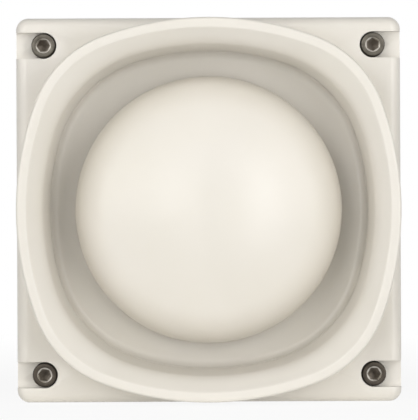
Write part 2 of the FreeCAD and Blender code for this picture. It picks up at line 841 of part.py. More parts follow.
def make_screw_seals():
    seals = []
    for side_x in SIDES:
        for side_y in SIDES:
            x, y = f"{side_x} * {SCREW_AT}", f"{side_y} * {SCREW_AT}"
            name = f"screw_seal_{len(seals) + 1}"
            bore = "screw_radius + thread_clearance"
            seals.append(ring(name, "screw_head_radius", bore, "screw_seal_height", x, y, SLOT_FLOOR))
    keep("screw_seals", group("screw_seal_set", seals))


# Horn cover
def make_horn_cover():
    """Flange, horn mouth and wall of the bowl, moulded in one piece.

    The mouth is a rounded square of eight tangent arcs. Its lip slopes in and grows rounder,
    and below the lip a steep wall drops to the floor of the horn.
    """
    body = new_body("horn_cover")
    outline = sketch(body, "skirt_outline", SEAM)
    draw_rectangle(outline, PLAN_HALF, PLAN_HALF, "plan_corner")
    skirt = pad(body, "skirt", outline, "skirt_depth")
    front = edges_at(skirt.Shape, value(FLANGE_FACE))
    dress(body, "Fillet", "flange_edge", skirt, front, Radius="flange_round")
    flange = body.Tip
    seam = edges_at(flange.Shape, value(SEAM))
    dress(body, "Chamfer", "skirt_seam_edge", flange, seam, Size="seam_chamfer")
    cavity = sketch(body, "skirt_cavity_outline", FLANGE_BACK)
    draw_rectangle(cavity, CAVITY_HALF, CAVITY_HALF, "inner_corner")
    pocket(body, "skirt_cavity", cavity, "skirt_depth - flange_wall")
    pillars = sketch(body, "cover_pillar_outlines", SEAM)
    draw_pillars(pillars)
    pad(body, "cover_pillars", pillars, "skirt_depth - flange_wall / 2")
    add_horn_walls(body)
    add_horn_inside(body)
    add_cover_holes(body)
    tongue = sketch(body, "tongue_outline", SEAM)
    draw_seal_ring(tongue, "seal_clearance")
    pad(body, "tongue", tongue, "seal_groove_depth - seal_height", backwards=True)
    keep("horn_cover", body)


def add_horn_walls(body):
    """Solid horn, before the inside is cut."""
    rim_half = f"({PLAN_HALF} - rim_inset)"
    root = f"({FLANGE_FACE} - flange_round)"
    rim = loft(body, "rim", [
        horn_outline(body, "rim_root", root, f"({rim_half} + rim_draft)", "mouth"),
        horn_outline(body, "rim_front", RIM, rim_half, "mouth"),
    ])
    dress(body, "Fillet", "rim_edge", rim, edges_at(rim.Shape, value(RIM)), Radius="rim_round")
    loft(body, "bowl", [
        horn_outline(body, "bowl_lip", f"({RIM} - lip_depth)", f"({LIP_HALF} + bowl_wall)", "lip"),
        horn_outline(body, "bowl_sump", SUMP_TOP, f"({SUMP_HALF} + bowl_wall)", "sump"),
    ])


def add_horn_inside(body):
    loft(body, "horn_lip", [
        horn_outline(body, "mouth_outline", RIM, MOUTH_HALF, "mouth"),
        horn_outline(body, "lip_foot", f"({RIM} - lip_depth)", LIP_HALF, "lip"),
    ], cuts=True)
    wall = loft(body, "horn_mouth", [
        horn_outline(body, "lip_outline", f"({RIM} - lip_depth)", LIP_HALF, "lip"),
        horn_outline(body, "sump_outline", SUMP_TOP, SUMP_HALF, "sump"),
    ], cuts=True)
    crease = edges_at(wall.Shape, value(f"{RIM} - lip_depth"))
    dress(body, "Fillet", "lip_crease", wall, crease, Radius="lip_round")


def make_horn_floor():
    """A shallow dish bonded under the wall of the horn, which carries the throat tube and driver."""
    body = new_body("horn_floor")
    outline = horn_outline(body, "dish_outline", SUMP_TOP, f"({SUMP_HALF} + bowl_wall)", "sump")
    dish = pad(body, "dish", outline, "sump_rise + bowl_wall", backwards=True)
    rear = edges_at(dish.Shape, value(BOWL_BACK))
    dress(body, "Chamfer", "dish_rear_edge", dish, rear, Size="sump_round")
    inside = horn_outline(body, "sump_outline", SUMP_TOP, SUMP_HALF, "sump")
    floor = pocket(body, "sump", inside, "sump_rise")
    inner = edges_at(floor.Shape, value(FLOOR))
    dress(body, "Fillet", "sump_edge", floor, inner, Radius="sump_round")
    add_floor_holes(body)
    keep("horn_floor", body)


def circle_places(radius, copies, start):
    """Places evenly spaced on a circle, the first one at an angle in degrees."""
    turns = [math.radians(start + 360 * k / copies) for k in range(copies)]
    return [(f"{radius} * {math.cos(turn):.6f}", f"{radius} * {math.sin(turn):.6f}") for turn in turns]


def driver_places():
    return circle_places("driver_screw_circle", 4, 45)


def leg_places():
    return circle_places("dome_leg_circle", count("dome_leg_count"), 90)


def add_floor_holes(body):
    """Seat of the throat tube, driver bosses, and holes for the driver's and the dome's screws."""
    seat = sketch(body, "throat_seat_outline", FLOOR)
    draw_circle(seat, "throat_seat + throat_seat_clearance")
    pocket(body, "throat_seat_hole", seat, "bowl_wall")
    bosses = sketch(body, "driver_boss_outlines", f"({FLOOR} - bowl_wall / 2)")
    for x, y in driver_places():
        draw_circle(bosses, "driver_boss_radius", x, y)
    pad(body, "driver_bosses", bosses, "driver_boss_rise + bowl_wall / 2")
    pilots = sketch(body, "driver_pilot_outlines", BOWL_BACK)
    for x, y in driver_places():
        draw_circle(pilots, "driver_screw_radius + thread_clearance", x, y)
    grip = "driver_screw_length - cap_flange - throat_plate_height - driver_gasket_height"
    pocket(body, "driver_pilots", pilots, f"{grip} + seal_clearance", forwards=True)
    legs = sketch(body, "dome_screw_outlines", FLOOR)
    for x, y in leg_places():
        draw_circle(legs, "dome_screw_radius + dome_screw_clearance", x, y)
    pocket(body, "dome_screw_holes", legs, "bowl_wall")


def add_cover_holes(body):
    """Pockets and holes for the cover screws."""
    slots = sketch(body, "screw_slot_outlines", FLANGE_FACE)
    for side_x in SIDES:
        for side_y in SIDES:
            draw_screw_slot(slots, side_x, side_y)
    pocket(body, "screw_slots", slots, f"{FLANGE_FACE} - {SLOT_FLOOR}")
    holes = sketch(body, "screw_hole_outlines", FLANGE_FACE)
    draw_screw_circles(holes, "screw_radius + screw_hole_clearance")
    pocket(body, "screw_holes", holes, "skirt_depth")


# Throat tube and dome in the mouth of the horn
def make_throat_tube():
    """A flared tube bonded into the floor of the horn by its spigot and collar."""
    body = new_body("throat_tube")
    collar = f"({FLOOR} + throat_collar_height)"
    tube = revolve(body, "throat_turned", [
        ("throat_entry", BOWL_BACK), ("throat_seat", BOWL_BACK), ("throat_seat", FLOOR),
        ("throat_collar", FLOOR), ("throat_collar", collar), ("throat_base", collar),
        ("throat_tip", THROAT_END), ("throat_exit", THROAT_END),
    ])
    limit = value("(throat_base + throat_collar) / 2")
    foot = edges_at(tube.Shape, value(collar), lambda edge: reach_of(edge) < limit)
    dress(body, "Fillet", "throat_foot", tube, foot, Radius="throat_foot_round")
    keep("throat_tube", body)


def dome_form(name, inset, lowest):
    """The dome as a solid, drawn in from its outer face and ended at a depth."""
    body = new_body(name)
    drawing = side_sketch(body, name + "_profile")
    radius = value(f"dome_radius - {inset}")
    shoulder = value(f"dome_shoulder - {inset}")
    waist, foot = value(DOME_WAIST), value(lowest)
    inner = value("dome_radius - dome_shoulder")
    height = value("dome_crown")
    outer = value("dome_shoulder")
    crown = (inner ** 2 + height ** 2 - outer ** 2) / (2 * (height - outer))
    crown_centre = waist + height - crown
    lean = math.atan2(waist - crown_centre, inner)
    apex = crown_centre + crown - value(inset)
    arcs = drawing.addGeometry([
        arc(inner, waist, shoulder, 0, lean),
        arc(0, crown_centre, crown - value(inset), lean, math.pi / 2),
    ])
    lines = drawing.addGeometry([
        Part.LineSegment(vector(0, apex), vector(0, foot)),
        Part.LineSegment(vector(0, foot), vector(radius, foot)),
        Part.LineSegment(vector(radius, foot), vector(radius, waist)),
    ])
    tie(drawing, "Tangent", arcs[0], 2, arcs[1], 1)
    tie(drawing, "Coincident", arcs[1], 2, lines[0], 1)
    tie(drawing, "Coincident", lines[0], 2, lines[1], 1)
    tie(drawing, "Coincident", lines[1], 2, lines[2], 1)
    tie(drawing, "Tangent", lines[2], 2, arcs[0], 1)
    tie(drawing, "PointOnObject", arcs[1], 3, -2)
    tie(drawing, "PointOnObject", lines[0], 1, -2)
    tie(drawing, "PointOnObject", lines[0], 2, -2)
    tie(drawing, "Horizontal", lines[1])
    tie(drawing, "Vertical", lines[2])
    dimension(drawing, "DistanceY", lines[1], 2, lowest)
    dimension(drawing, "DistanceX", lines[2], 1, f"dome_radius - {inset}")
    dimension(drawing, "DistanceY", arcs[0], 3, DOME_WAIST)
    dimension(drawing, "Radius", arcs[0], f"dome_shoulder - {inset}")
    dimension(drawing, "DistanceY", arcs[1], 2, f"{DOME_TOP} - {inset}")
    made = body.newObject("PartDesign::Revolution", name + "_turned")
    made.Profile = drawing
    made.ReferenceAxis = (drawing, ["V_Axis"])
    made.Angle = 360
    doc.recompute()
    return body


def make_horn_dome():
    """A thin dome on three legs, screwed from behind the floor of the horn."""
    outer = dome_form("dome_outer", "0", DOME_REAR)
    hollow = dome_form("dome_hollow", "dome_wall", f"({DOME_REAR} - dome_wall)")
    core = dome_form("dome_core", "(dome_wall / 2)", FLOOR)
    shell = cut("dome_shell", outer, [hollow])
    posts = []
    pilots = []
    for x, y in leg_places():
        number = len(posts) + 1
        posts.append(cylinder(f"dome_post_{number}", "dome_leg_radius", "horn_depth", x, y, FLOOR))
        pilots.append(cylinder(f"dome_pilot_{number}", "dome_screw_radius + thread_clearance",
                               "dome_screw_length - bowl_wall + seal_clearance", x, y, FLOOR))
    legs = doc.addObject("Part::Common", "dome_legs")
    legs.Base = core
    legs.Tool = fuse("dome_posts", posts)
    keep("horn_dome", cut("horn_dome_solid", fuse("dome_blank", [shell, legs]), pilots))


def pan_screw(name, kind, x, y, seat, faces_wall):
    """A small cross-slot screw of one kind, its head on the wall side of its seat or in front."""
    radius, length, head, rise = (kind + part for part in ("_radius", "_length", "_head", "_head_height"))
    foot = seat if faces_wall else f"{seat} - {length}"
    shank = cylinder(name + "_shank", radius, length, x, y, foot)
    if faces_wall:
        crown = cone(name + "_crown", f"{head} * head_taper", head, rise, x, y, f"{seat} - {rise}")
        level = f"{seat} - {rise}"
    else:
        crown = cone(name + "_crown", head, f"{head} * head_taper", rise, x, y, seat)
        level = f"{seat} + {rise} / 2"
    reach = f"{head} * head_taper * 2 - cross_slot"
    across = box(name + "_slot", "cross_slot", reach, f"{rise} / 2", x, y, level)
    along = box(name + "_cross", reach, "cross_slot", f"{rise} / 2", x, y, level)
    return cut(name, fuse(name + "_blank", [shank, crown]), [across, along])


def make_screw_set(label, kind, places, seat, faces_wall):
    screws = [pan_screw(f"{kind}_{number}", kind, x, y, seat, faces_wall)
              for number, (x, y) in enumerate(places, start=1)]
    keep(label, group(kind + "_set", screws))


# Driver behind the horn
def make_driver_gasket():
    blank = cylinder("driver_gasket_blank", "driver_flange", "driver_gasket_height", z=PLATE_FRONT)
    bores = driver_holes("driver_gasket", "driver_gasket_height", PLATE_FRONT)
    throat = cylinder("driver_gasket_throat", "throat_entry", "driver_gasket_height", z=PLATE_FRONT)
    keep("driver_gasket", cut("driver_gasket_ring", blank, bores + [throat]))


def driver_holes(name, height, z):
    radius = "driver_screw_radius + driver_screw_clearance"
    return [cylinder(f"{name}_hole_{number}", radius, height, x, y, z)
            for number, (x, y) in enumerate(driver_places(), start=1)]


def make_throat_plate():
    """Front plate of the driver, with a conical throat over the diaphragm."""
    blank = cylinder("throat_plate_blank", "driver_flange", "throat_plate_height", z=PLATE_BACK)
    bores = driver_holes("throat_plate", "throat_plate_height", PLATE_BACK)
    relief = cylinder("throat_plate_relief", f"{FILM_ROLL_EDGE} + throat_plate_clearance",
                      "film_roll_radius + throat_plate_clearance", z=PLATE_BACK)
    cavity = cone("throat_plate_cone", "throat_plate_mouth", "throat_entry",
                  "throat_plate_height", z=PLATE_BACK)
    keep("throat_plate", cut("throat_plate_solid", blank, bores + [relief, cavity]))


def sphere(name, radius, z):
    solid = doc.addObject("Part::Sphere", name)
    bind(solid, Radius=radius)
    place(solid, "0", "0", z)
    return solid


def torus(name, radius, thickness, z):
    solid = doc.addObject("Part::Torus", name)
    bind(solid, Radius1=radius, Radius2=thickness)
    place(solid, "0", "0", z)
    return solid


def make_diaphragm():
    """A thin film: a dome in the middle, a flat land for the coil, a half roll and a clamped rim."""
    radius = "((film_dome * film_dome + film_dome_rise * film_dome_rise) / (2 * film_dome_rise))"
    centre = f"({PLATE_BACK} + film_dome_rise - {radius})"
    outer = sphere("film_dome_outer", radius, centre)
    inner = sphere("film_dome_inner", f"{radius} - film_thickness", centre)
    bound = cylinder("film_dome_bound", "film_dome", "film_dome_rise + film_thickness", z=FILM_SEAT)
    cap = doc.addObject("Part::Common", "film_cap")
    cap.Base = cut("film_dome_shell", outer, [inner])
    cap.Tool = bound
    flat = ring("film_flat", "film_radius", "film_dome - film_thickness", "film_thickness", z=FILM_SEAT)
    trough = ring("film_trough", "film_roll + film_roll_radius - film_thickness",
                  "film_roll - film_roll_radius + film_thickness", "film_thickness", z=FILM_SEAT)
    roll = cut("film_roll_shell", torus("film_roll_outer", "film_roll", "film_roll_radius", FILM_SEAT),
               [torus("film_roll_inner", "film_roll", "film_roll_radius - film_thickness", FILM_SEAT)])
    front = doc.addObject("Part::Common", "film_roll_front")
    front.Base = roll
    front.Tool = cylinder("film_roll_bound", "film_radius", "film_roll_radius * 2", z=FILM_SEAT)
    land = cut("film_land", flat, [trough])
    keep("diaphragm", fuse("diaphragm_film", [cap, land, front]))


def make_voice_coil():
    keep("voice_coil", ring("voice_coil_ring", COIL_OUTER, COIL_INNER, "coil_length", z=COIL_BACK))


def make_motor():
    """Top plate, magnet and yoke, with the coil's gap between plate and pole."""
    plate = cylinder("top_plate_blank", "magnet_radius", "top_plate_height", z=TOP_PLATE_BACK)
    bore = cylinder("top_plate_bore", f"{COIL_OUTER} + coil_gap", "top_plate_height", z=TOP_PLATE_BACK)
    relief = cylinder("top_plate_relief", FILM_ROLL_EDGE, "film_lift", z=f"{FILM_SEAT} - film_lift")
    keep("top_plate", cut("top_plate_ring", plate, [bore, relief]))
    keep("magnet_ring", ring("magnet", "magnet_radius", "magnet_bore", "magnet_height", z=MAGNET_BACK))
    pole_radius = f"({COIL_INNER} - coil_gap)"
    pole_top = f"({FILM_SEAT} - pole_sink)"
    body = new_body("pole_yoke")
    revolve(body, "yoke_turned", [
        ("yoke_vent", YOKE_BACK), ("yoke_radius - cap_round", YOKE_BACK),
        ("yoke_radius", f"{YOKE_BACK} + cap_round"), ("yoke_radius", MAGNET_BACK),
        (pole_radius, MAGNET_BACK), (pole_radius, pole_top), ("yoke_vent", pole_top),
    ])
    keep("pole_yoke", body)


def make_driver_back_cover():
    """A flanged can that clamps the magnet to the throat plate."""
    body = new_body("driver_can_turned")
    flange = f"({PLATE_BACK} - cap_flange)"
    revolve(body, "can_turned", [
        ("0", CAP_BACK), ("driver_body - cap_round", CAP_BACK), ("driver_body", f"{CAP_BACK} + cap_round"),
        ("driver_body", flange), ("driver_flange", flange), ("driver_flange", PLATE_BACK),
        ("driver_body - cap_wall", PLATE_BACK), ("driver_body - cap_wall", YOKE_BACK), ("0", YOKE_BACK),
    ])
    holes = sketch(body, "can_hole_outlines", PLATE_BACK)
    for x, y in driver_places():
        draw_circle(holes, "driver_screw_radius + driver_screw_clearance", x, y)
    pocket(body, "can_holes", holes, "cap_flange")
    slots = [box(f"tag_slot_{number}", "tag_length", "tag_width", "tag_thickness", TAG_X, y, TAG_DEPTH)
             for number, y in enumerate(TAG_PLACES, start=1)]
    keep("driver_back_cover", cut("driver_can", body, slots))


def make_driver_tags():
    tags = [box(f"tag_{number}", "tag_length", "tag_width", "tag_thickness", TAG_X, y, TAG_DEPTH)
            for number, y in enumerate(TAG_PLACES, start=1)]
    keep("driver_tags", group("tag_set", tags))


# Circuit board and what is soldered to it
def make_circuit_board():
    body = new_body("circuit_board")
    outline = sketch(body, "board_outline", "board_stand")
    draw_rectangle(outline, "board_width / 2", "board_height / 2", "board_corner")
    pad(body, "board_blank", outline, "board_thickness")
    holes = sketch(body, "board_hole_outlines", BOARD_FACE)
    for x, y in board_holes():
        draw_circle(holes, "board_screw_radius + board_screw_clearance", x, y)
    pocket(body, "board_screw_holes", holes, "board_thickness")
    keep("circuit_board", body)


def way_places():
    """Middles of the ways of the terminal block, from left to right."""
    ways = count("ways")
    return [f"({k} - (ways - 1) / 2) * way_pitch" for k in range(ways)]


def make_terminal_block():
    """Moulded block with a wire mouth and a screw well for each way."""
    blank = box("block_blank", "ways * way_pitch", "block_depth", "block_height", "0", "block_y", BOARD_FACE)
    tools = []
    for number, x in enumerate(way_places(), start=1):
        mouth_y = "block_y - (block_depth - block_mouth_reach) / 2"
        tools.append(box(f"block_mouth_{number}", "block_mouth_width", "block_mouth_reach",
                         "block_mouth_height", x, mouth_y, MOUTH_FLOOR))
        tools.append(cylinder(f"block_well_{number}", "block_well_radius",
                              f"{BLOCK_TOP} - {MOUTH_TOP}", x, CLAMP_Y, MOUTH_TOP))
    keep("terminal_block", cut("block_moulding", blank, tools))


def make_terminal_clamps():
    """Brass cages that the screws draw up onto the wires."""
    clamps = []
    width = "(block_mouth_width - 2 * clamp_clearance)"
    height = "(block_mouth_height - 2 * clamp_clearance)"
    level = f"{MOUTH_FLOOR} + clamp_clearance"
    for number, x in enumerate(way_places(), start=1):
        blank = box(f"clamp_blank_{number}", width, "clamp_depth", height, x, CLAMP_Y, level)
        inside = box(f"clamp_inside_{number}", f"{width} - 2 * clamp_wall", "clamp_depth",
                     f"{height} - 2 * clamp_wall", x, CLAMP_Y, f"{level} + clamp_wall")
        hole = cylinder(f"clamp_hole_{number}", "terminal_screw_radius + thread_clearance",
                        "clamp_wall", x, CLAMP_Y, f"{level} + {height} - clamp_wall")
        clamps.append(cut(f"clamp_{number}", blank, [inside, hole]))
    keep("terminal_clamps", group("clamp_set", clamps))


def make_terminal_screws():
    screws = []
    seat = f"({BLOCK_TOP} - terminal_screw_sink - terminal_screw_head_height)"
    top = f"({BLOCK_TOP} - terminal_screw_sink)"
    for number, x in enumerate(way_places(), start=1):
        shank = cylinder(f"way_shank_{number}", "terminal_screw_radius", "terminal_screw_length",
                         x, CLAMP_Y, f"{seat} - terminal_screw_length")
        head = cylinder(f"way_head_{number}", "terminal_screw_head", "terminal_screw_head_height",
                        x, CLAMP_Y, seat)
        slot = box(f"way_slot_{number}", "terminal_screw_head * 2", "terminal_slot_width",
                   "terminal_slot_depth", x, CLAMP_Y, f"{top} - terminal_slot_depth")
        screws.append(cut(f"way_screw_{number}", fuse(f"way_blank_{number}", [shank, head]), [slot]))
    keep("terminal_screws", group("terminal_screw_set", screws))


def lever_places():
    levers = count("levers")
    return [f"(switch_y + ({k} - (levers - 1) / 2) * lever_pitch)" for k in range(levers)]


def make_tone_switch():
    """Slide switches in one body; each lever has a foot that the body's skin holds in."""
    blank = box("switch_blank", "switch_width", "(levers + 1) * lever_pitch", "switch_height",
                "switch_x", "switch_y", BOARD_FACE)
    top = f"({BOARD_FACE} + switch_height)"
    track = f"({top} - switch_skin - lever_foot_height - 2 * lever_clearance)"
    tools = []
    levers = []
    start = "(switch_x - lever_travel / 2)"
    for number, y in enumerate(lever_places(), start=1):
        tools.append(box(f"lever_track_{number}", "lever_foot + lever_travel + 2 * lever_clearance",
                         "lever_width + 2 * lever_clearance", "lever_foot_height + 2 * lever_clearance",
                         "switch_x", y, track))
        tools.append(box(f"lever_window_{number}", "lever_length + lever_travel + 2 * lever_clearance",
                         "lever_width + 2 * lever_clearance", "switch_skin",
                         "switch_x", y, f"{top} - switch_skin"))
        foot = box(f"lever_foot_{number}", "lever_foot", "lever_width", "lever_foot_height",
                   start, y, f"{track} + lever_clearance")
        stem = box(f"lever_stem_{number}", "lever_length", "lever_width",
                   f"{top} + lever_proud - {track} - lever_clearance", start, y, f"{track} + lever_clearance")
        levers.append(fuse(f"lever_{number}", [foot, stem]))
    keep("tone_switch_body", cut("switch_moulding", blank, tools))
    for number, lever in enumerate(levers, start=1):
        keep(f"tone_lever_{number}", lever)


def make_volume_control():
    """A square trimmer with a slotted rotor that turns in its top."""
    top = f"({BOARD_FACE} + control_height)"
    seat = f"({top} - rotor_height)"
    blank = box("control_blank", "control_side", "control_side", "control_height",
                "control_x", "control_y", BOARD_FACE)
    recess = cylinder("control_recess", "rotor_radius + rotor_clearance", "rotor_height",
                      "control_x", "control_y", seat)
    socket = cylinder("control_socket", "rotor_stem + rotor_clearance", "rotor_stem_length + rotor_clearance",
                      "control_x", "control_y", f"{seat} - rotor_stem_length - rotor_clearance")
    keep("volume_control_body", cut("control_moulding", blank, [recess, socket]))
    disc = cylinder("rotor_disc", "rotor_radius", "rotor_height + rotor_proud - rotor_clearance",
                    "control_x", "control_y", f"{seat} + rotor_clearance")
    stem = cylinder("rotor_stem_pin", "rotor_stem", "rotor_stem_length", "control_x", "control_y",
                    f"{seat} + rotor_clearance - rotor_stem_length")
    face = f"({top} + rotor_proud)"
    slot = box("rotor_slot", "rotor_radius * 2", "rotor_slot_width", "rotor_slot_depth",
               "control_x", "control_y", f"{face} - rotor_slot_depth")
    arrow = box("rotor_arrow", "rotor_slot_width", "rotor_radius", "rotor_slot_depth",
                "control_x", "control_y + rotor_radius / 2", f"{face} - rotor_slot_depth")
    keep("volume_rotor", cut("rotor", fuse("rotor_blank", [disc, stem]), [slot, arrow]))


def make_capacitors():
    """Two smoothing capacitors with a rolled crimp near the foot."""
    body = new_body("smoothing_capacitors")
    top = f"({BOARD_FACE} + capacitor_height)"
    crimp = f"({BOARD_FACE} + capacitor_crimp)"
    for number in range(2):
        revolve(body, f"capacitor_{number + 1}", [
            ("0", BOARD_FACE), ("capacitor_radius", BOARD_FACE), ("capacitor_radius", crimp),
            ("capacitor_radius - capacitor_round / 2", f"{crimp} + capacitor_round / 2"),
            ("capacitor_radius", f"{crimp} + capacitor_round"),
            ("capacitor_radius", f"{top} - capacitor_round"),
            ("capacitor_radius - capacitor_round", top), ("0", top),
        ], f"capacitor_x + {number} * capacitor_step_x", f"capacitor_y + {number} * capacitor_step_y")
    keep("smoothing_capacitors", body)


def make_inductor():
    """A bobbin core and the copper winding between its flanges."""
    body = new_body("inductor_core")
    foot = f"({BOARD_FACE} + inductor_flange)"
    top = f"({BOARD_FACE} + inductor_height)"
    waist = f"({top} - inductor_flange)"
    revolve(body, "bobbin", [
        ("0", BOARD_FACE), ("inductor_radius", BOARD_FACE), ("inductor_radius", foot),
        ("inductor_neck", foot), ("inductor_neck", waist), ("inductor_radius", waist),
        ("inductor_radius", top), ("0", top),
    ], "inductor_x", "inductor_y")
    keep("inductor_core", body)
    winding = ring("winding", "inductor_radius - winding_sink", "inductor_neck",
                   f"{waist} - {foot}", "inductor_x", "inductor_y", foot)
    keep("inductor_winding", winding)


def make_output_transistor():
    """A tab-cooled transistor that stands on its three legs."""
    base = f"({BOARD_FACE} + transistor_lift)"
    case = box("transistor_case", "transistor_width", "transistor_thickness", "transistor_height",
               "transistor_x", "transistor_y", base)
    back = "(transistor_y + transistor_thickness / 2 - transistor_tab_thickness / 2)"
    tab = box("transistor_tab_plate", "transistor_width", "transistor_tab_thickness",
              "transistor_height + transistor_tab", "transistor_x", back, base)
    legs = [box(f"transistor_leg_{k + 2}", "leg_width", "leg_thickness", "transistor_lift",
                f"transistor_x + {k} * way_pitch / 2", "transistor_y", BOARD_FACE) for k in (-1, 0, 1)]
    hole = cylinder("transistor_tab_bore", "transistor_tab_hole", "transistor_width")
    hole.Placement.Rotation = FreeCAD.Rotation(FreeCAD.Vector(1, 0, 0), 90)
    place(hole, "transistor_x", "transistor_y + transistor_width / 2",
          f"{base} + transistor_height + transistor_tab / 2")
    keep("output_transistor", cut("transistor", fuse("transistor_blank", [case, tab] + legs), [hole]))


def make_controller_chip():
    """A moulded chip with bent legs along two sides."""
    body = new_body("controller_chip")
    case = sketch(body, "chip_outline", f"{BOARD_FACE} + chip_lift")
    draw_rectangle(case, "chip_width / 2", "chip_length / 2", "chip_lift", "chip_x", "chip_y")
    pad(body, "chip_case", case, "chip_height")
    shoulder = f"({BOARD_FACE} + chip_lift + chip_height / 2)"
    first_leg = "(chip_y - (chip_legs - 1) / 2 * chip_leg_pitch)"
    drawing = side_sketch(body, "chip_leg_outlines", "chip_x", first_leg)
    edge = "(chip_width / 2)"
    for side in SIDES:
        draw_polygon(drawing, [(f"{side} * {x}", z) for x, z in (
            (f"({edge} - chip_leg)", shoulder), (f"({edge} + chip_leg_reach / 2)", shoulder),
            (f"({edge} + chip_leg_reach / 2)", BOARD_FACE), (f"({edge} + chip_leg_reach)", BOARD_FACE),
            (f"({edge} + chip_leg_reach)", f"({BOARD_FACE} + chip_leg)"),
            (f"({edge} + chip_leg_reach / 2 + chip_leg)", f"({BOARD_FACE} + chip_leg)"),
            (f"({edge} + chip_leg_reach / 2 + chip_leg)", f"({shoulder} + chip_leg)"),
            (f"({edge} - chip_leg)", f"({shoulder} + chip_leg)"))])
    legs = body.newObject("PartDesign::Pad", "chip_leg_pair")
    legs.Profile = drawing
    legs.Midplane = True
    bind(legs, Length="chip_leg * 2")
    doc.recompute()
    row = body.newObject("PartDesign::LinearPattern", "chip_leg_row")
    row.Originals = [legs]
    row.Direction = (origin_part(body, "Y_Axis"), [""])
    bind(row, Length="(chip_legs - 1) * chip_leg_pitch")
    row.Occurrences = count("chip_legs")
    body.Tip = row
    doc.recompute()
    keep("controller_chip", body)


def make_rectifier():
    """A square bridge rectifier on four flat feet."""
    case = box("rectifier_case", "rectifier_side", "rectifier_side", "rectifier_height",
               "rectifier_x", "rectifier_y", f"{BOARD_FACE} + chip_lift")
    feet = []
    for side_x in SIDES:
        for side_y in SIDES:
            x = f"rectifier_x + {side_x} * (rectifier_side / 2 + rectifier_leg / 2 - chip_leg)"
            y = f"rectifier_y + {side_y} * rectifier_side / 3"
            feet.append(box(f"rectifier_foot_{len(feet) + 1}", "rectifier_leg + chip_leg", "leg_width",
                            "chip_lift + leg_thickness", x, y, BOARD_FACE))
    keep("rectifier", fuse("rectifier_solid", [case] + feet))


def make_small_parts(label, height, row_y):
    """A row of small chip parts soldered flat on the board."""
    parts = []
    for k in range(count("small_count")):
        x = f"small_row_x + {k - 2} * small_pitch"
        parts.append(box(f"{label}_{k + 1}", "small_width", "small_length", height, x, row_y, BOARD_FACE))
    keep(label, group(label + "_set", parts))


# Lead from the driver to the board
def make_lead_socket():
    wall = box("socket_blank", "socket_width", "socket_length", "socket_height",
               "socket_x", "socket_y", BOARD_FACE)
    inside = box("socket_inside", "socket_width - 2 * socket_wall", "socket_length - 2 * socket_wall",
                 "socket_height - socket_floor", "socket_x", "socket_y", f"{BOARD_FACE} + socket_floor")
    pins = [box(f"socket_pin_{number}", "pin_side", "pin_side", "socket_height - socket_floor / 2",
                "socket_x", y, BOARD_FACE) for number, y in enumerate(LEAD_PLACES, start=1)]
    keep("lead_socket", fuse("socket_solid", [cut("socket_shell", wall, [inside])] + pins))


def make_lead_plug():
    width = "(socket_width - 2 * socket_wall - 2 * plug_clearance)"
    length = "(socket_length - 2 * socket_wall - 2 * plug_clearance)"
    blank = box("plug_blank", width, length, "plug_height", "socket_x", "socket_y", PLUG_FOOT)
    bore = "pin_side + 2 * plug_clearance"
    depth = "plug_height - wire_entry - wire_radius"
    tools = []
    for number, y in enumerate(LEAD_PLACES, start=1):
        tools.append(box(f"plug_bore_{number}", bore, bore, depth, "socket_x", y, PLUG_FOOT))
        tools.append(cylinder(f"plug_entry_{number}", "wire_radius + thread_clearance",
                              "wire_entry", "socket_x", y, WIRE_END))
    keep("lead_plug", cut("plug", blank, tools))


def wire_path(points):
    """Straight runs joined by tangent arcs, each as large as its two runs allow."""
    edges = []
    start = points[0]
    for before, corner, after in zip(points, points[1:], points[2:]):
        back = (before - corner).normalize()
        ahead = (after - corner).normalize()
        half_turn = (math.pi - back.getAngle(ahead)) / 2
        trim = WIRE_TRIM * min((before - corner).Length, (after - corner).Length)
        radius = trim / math.tan(half_turn)
        middle = (back + ahead).normalize()
        first = corner + back * trim
        last = corner + ahead * trim
        top = corner + middle * (radius / math.cos(half_turn) - radius)
        edges.append(Part.LineSegment(start, first).toShape())
        edges.append(Part.Arc(first, top, last).toShape())
        start = last
        print(f"wire bend radius {radius:.1f} mm")
    edges.append(Part.LineSegment(start, points[-1]).toShape())
    return Part.Wire(edges)


def make_driver_leads():
    """Two insulated wires from the tags on the driver to the plug on the board."""
    tag_x = value(f"{TAG_X} + tag_length / 2")
    tag_z = value(f"{TAG_DEPTH} + tag_thickness / 2")
    for label, tag_y, plug_y, from_tag, from_plug in (
        ("driver_lead_red", TAG_PLACES[1], LEAD_PLACES[0], RED_FROM_TAG, RED_FROM_PLUG),
        ("driver_lead_black", TAG_PLACES[0], LEAD_PLACES[1], BLACK_FROM_TAG, BLACK_FROM_PLUG),
    ):
        first = FreeCAD.Vector(tag_x, value(tag_y), tag_z)
        last = FreeCAD.Vector(value("socket_x"), value(plug_y), value(WIRE_END))
        points = [first] + [first + FreeCAD.Vector(*step) for step in from_tag]
        points += [last + FreeCAD.Vector(*step) for step in from_plug] + [last]
        path = wire_path(points)
        heading = points[1] - points[0]
        section = Part.Wire(Part.makeCircle(value("wire_radius"), first, heading))
        lead = doc.addObject("Part::Feature", label)
        lead.Shape = path.makePipeShell([section], True, False)
        share = lead.Shape.Volume / (math.pi * value("wire_radius") ** 2 * path.Length)
        print(f"{label} volume is {share:.4f} of section times length")
        keep(label, lead)


def make_rear_entry_grommet():
    """A rubber grommet with a thin membrane that a supply cable pierces."""
    body = new_body("rear_entry_grommet")
    neck = "entry_radius - grommet_clearance"
    inner = "entry_radius - grommet_lip"
    skin = "grommet_sink + grommet_membrane"
    lip = "box_back + grommet_lip_height"
    revolve(body, "grommet", [
        ("0", "grommet_sink"), (neck, "grommet_sink"), (neck, "box_back"),
        ("entry_radius + grommet_lip", "box_back"), ("entry_radius + grommet_lip", lip),
        (inner, lip), (inner, skin), ("0", skin),
    ], "0", ENTRY_Y)
    keep("rear_entry_grommet", body)


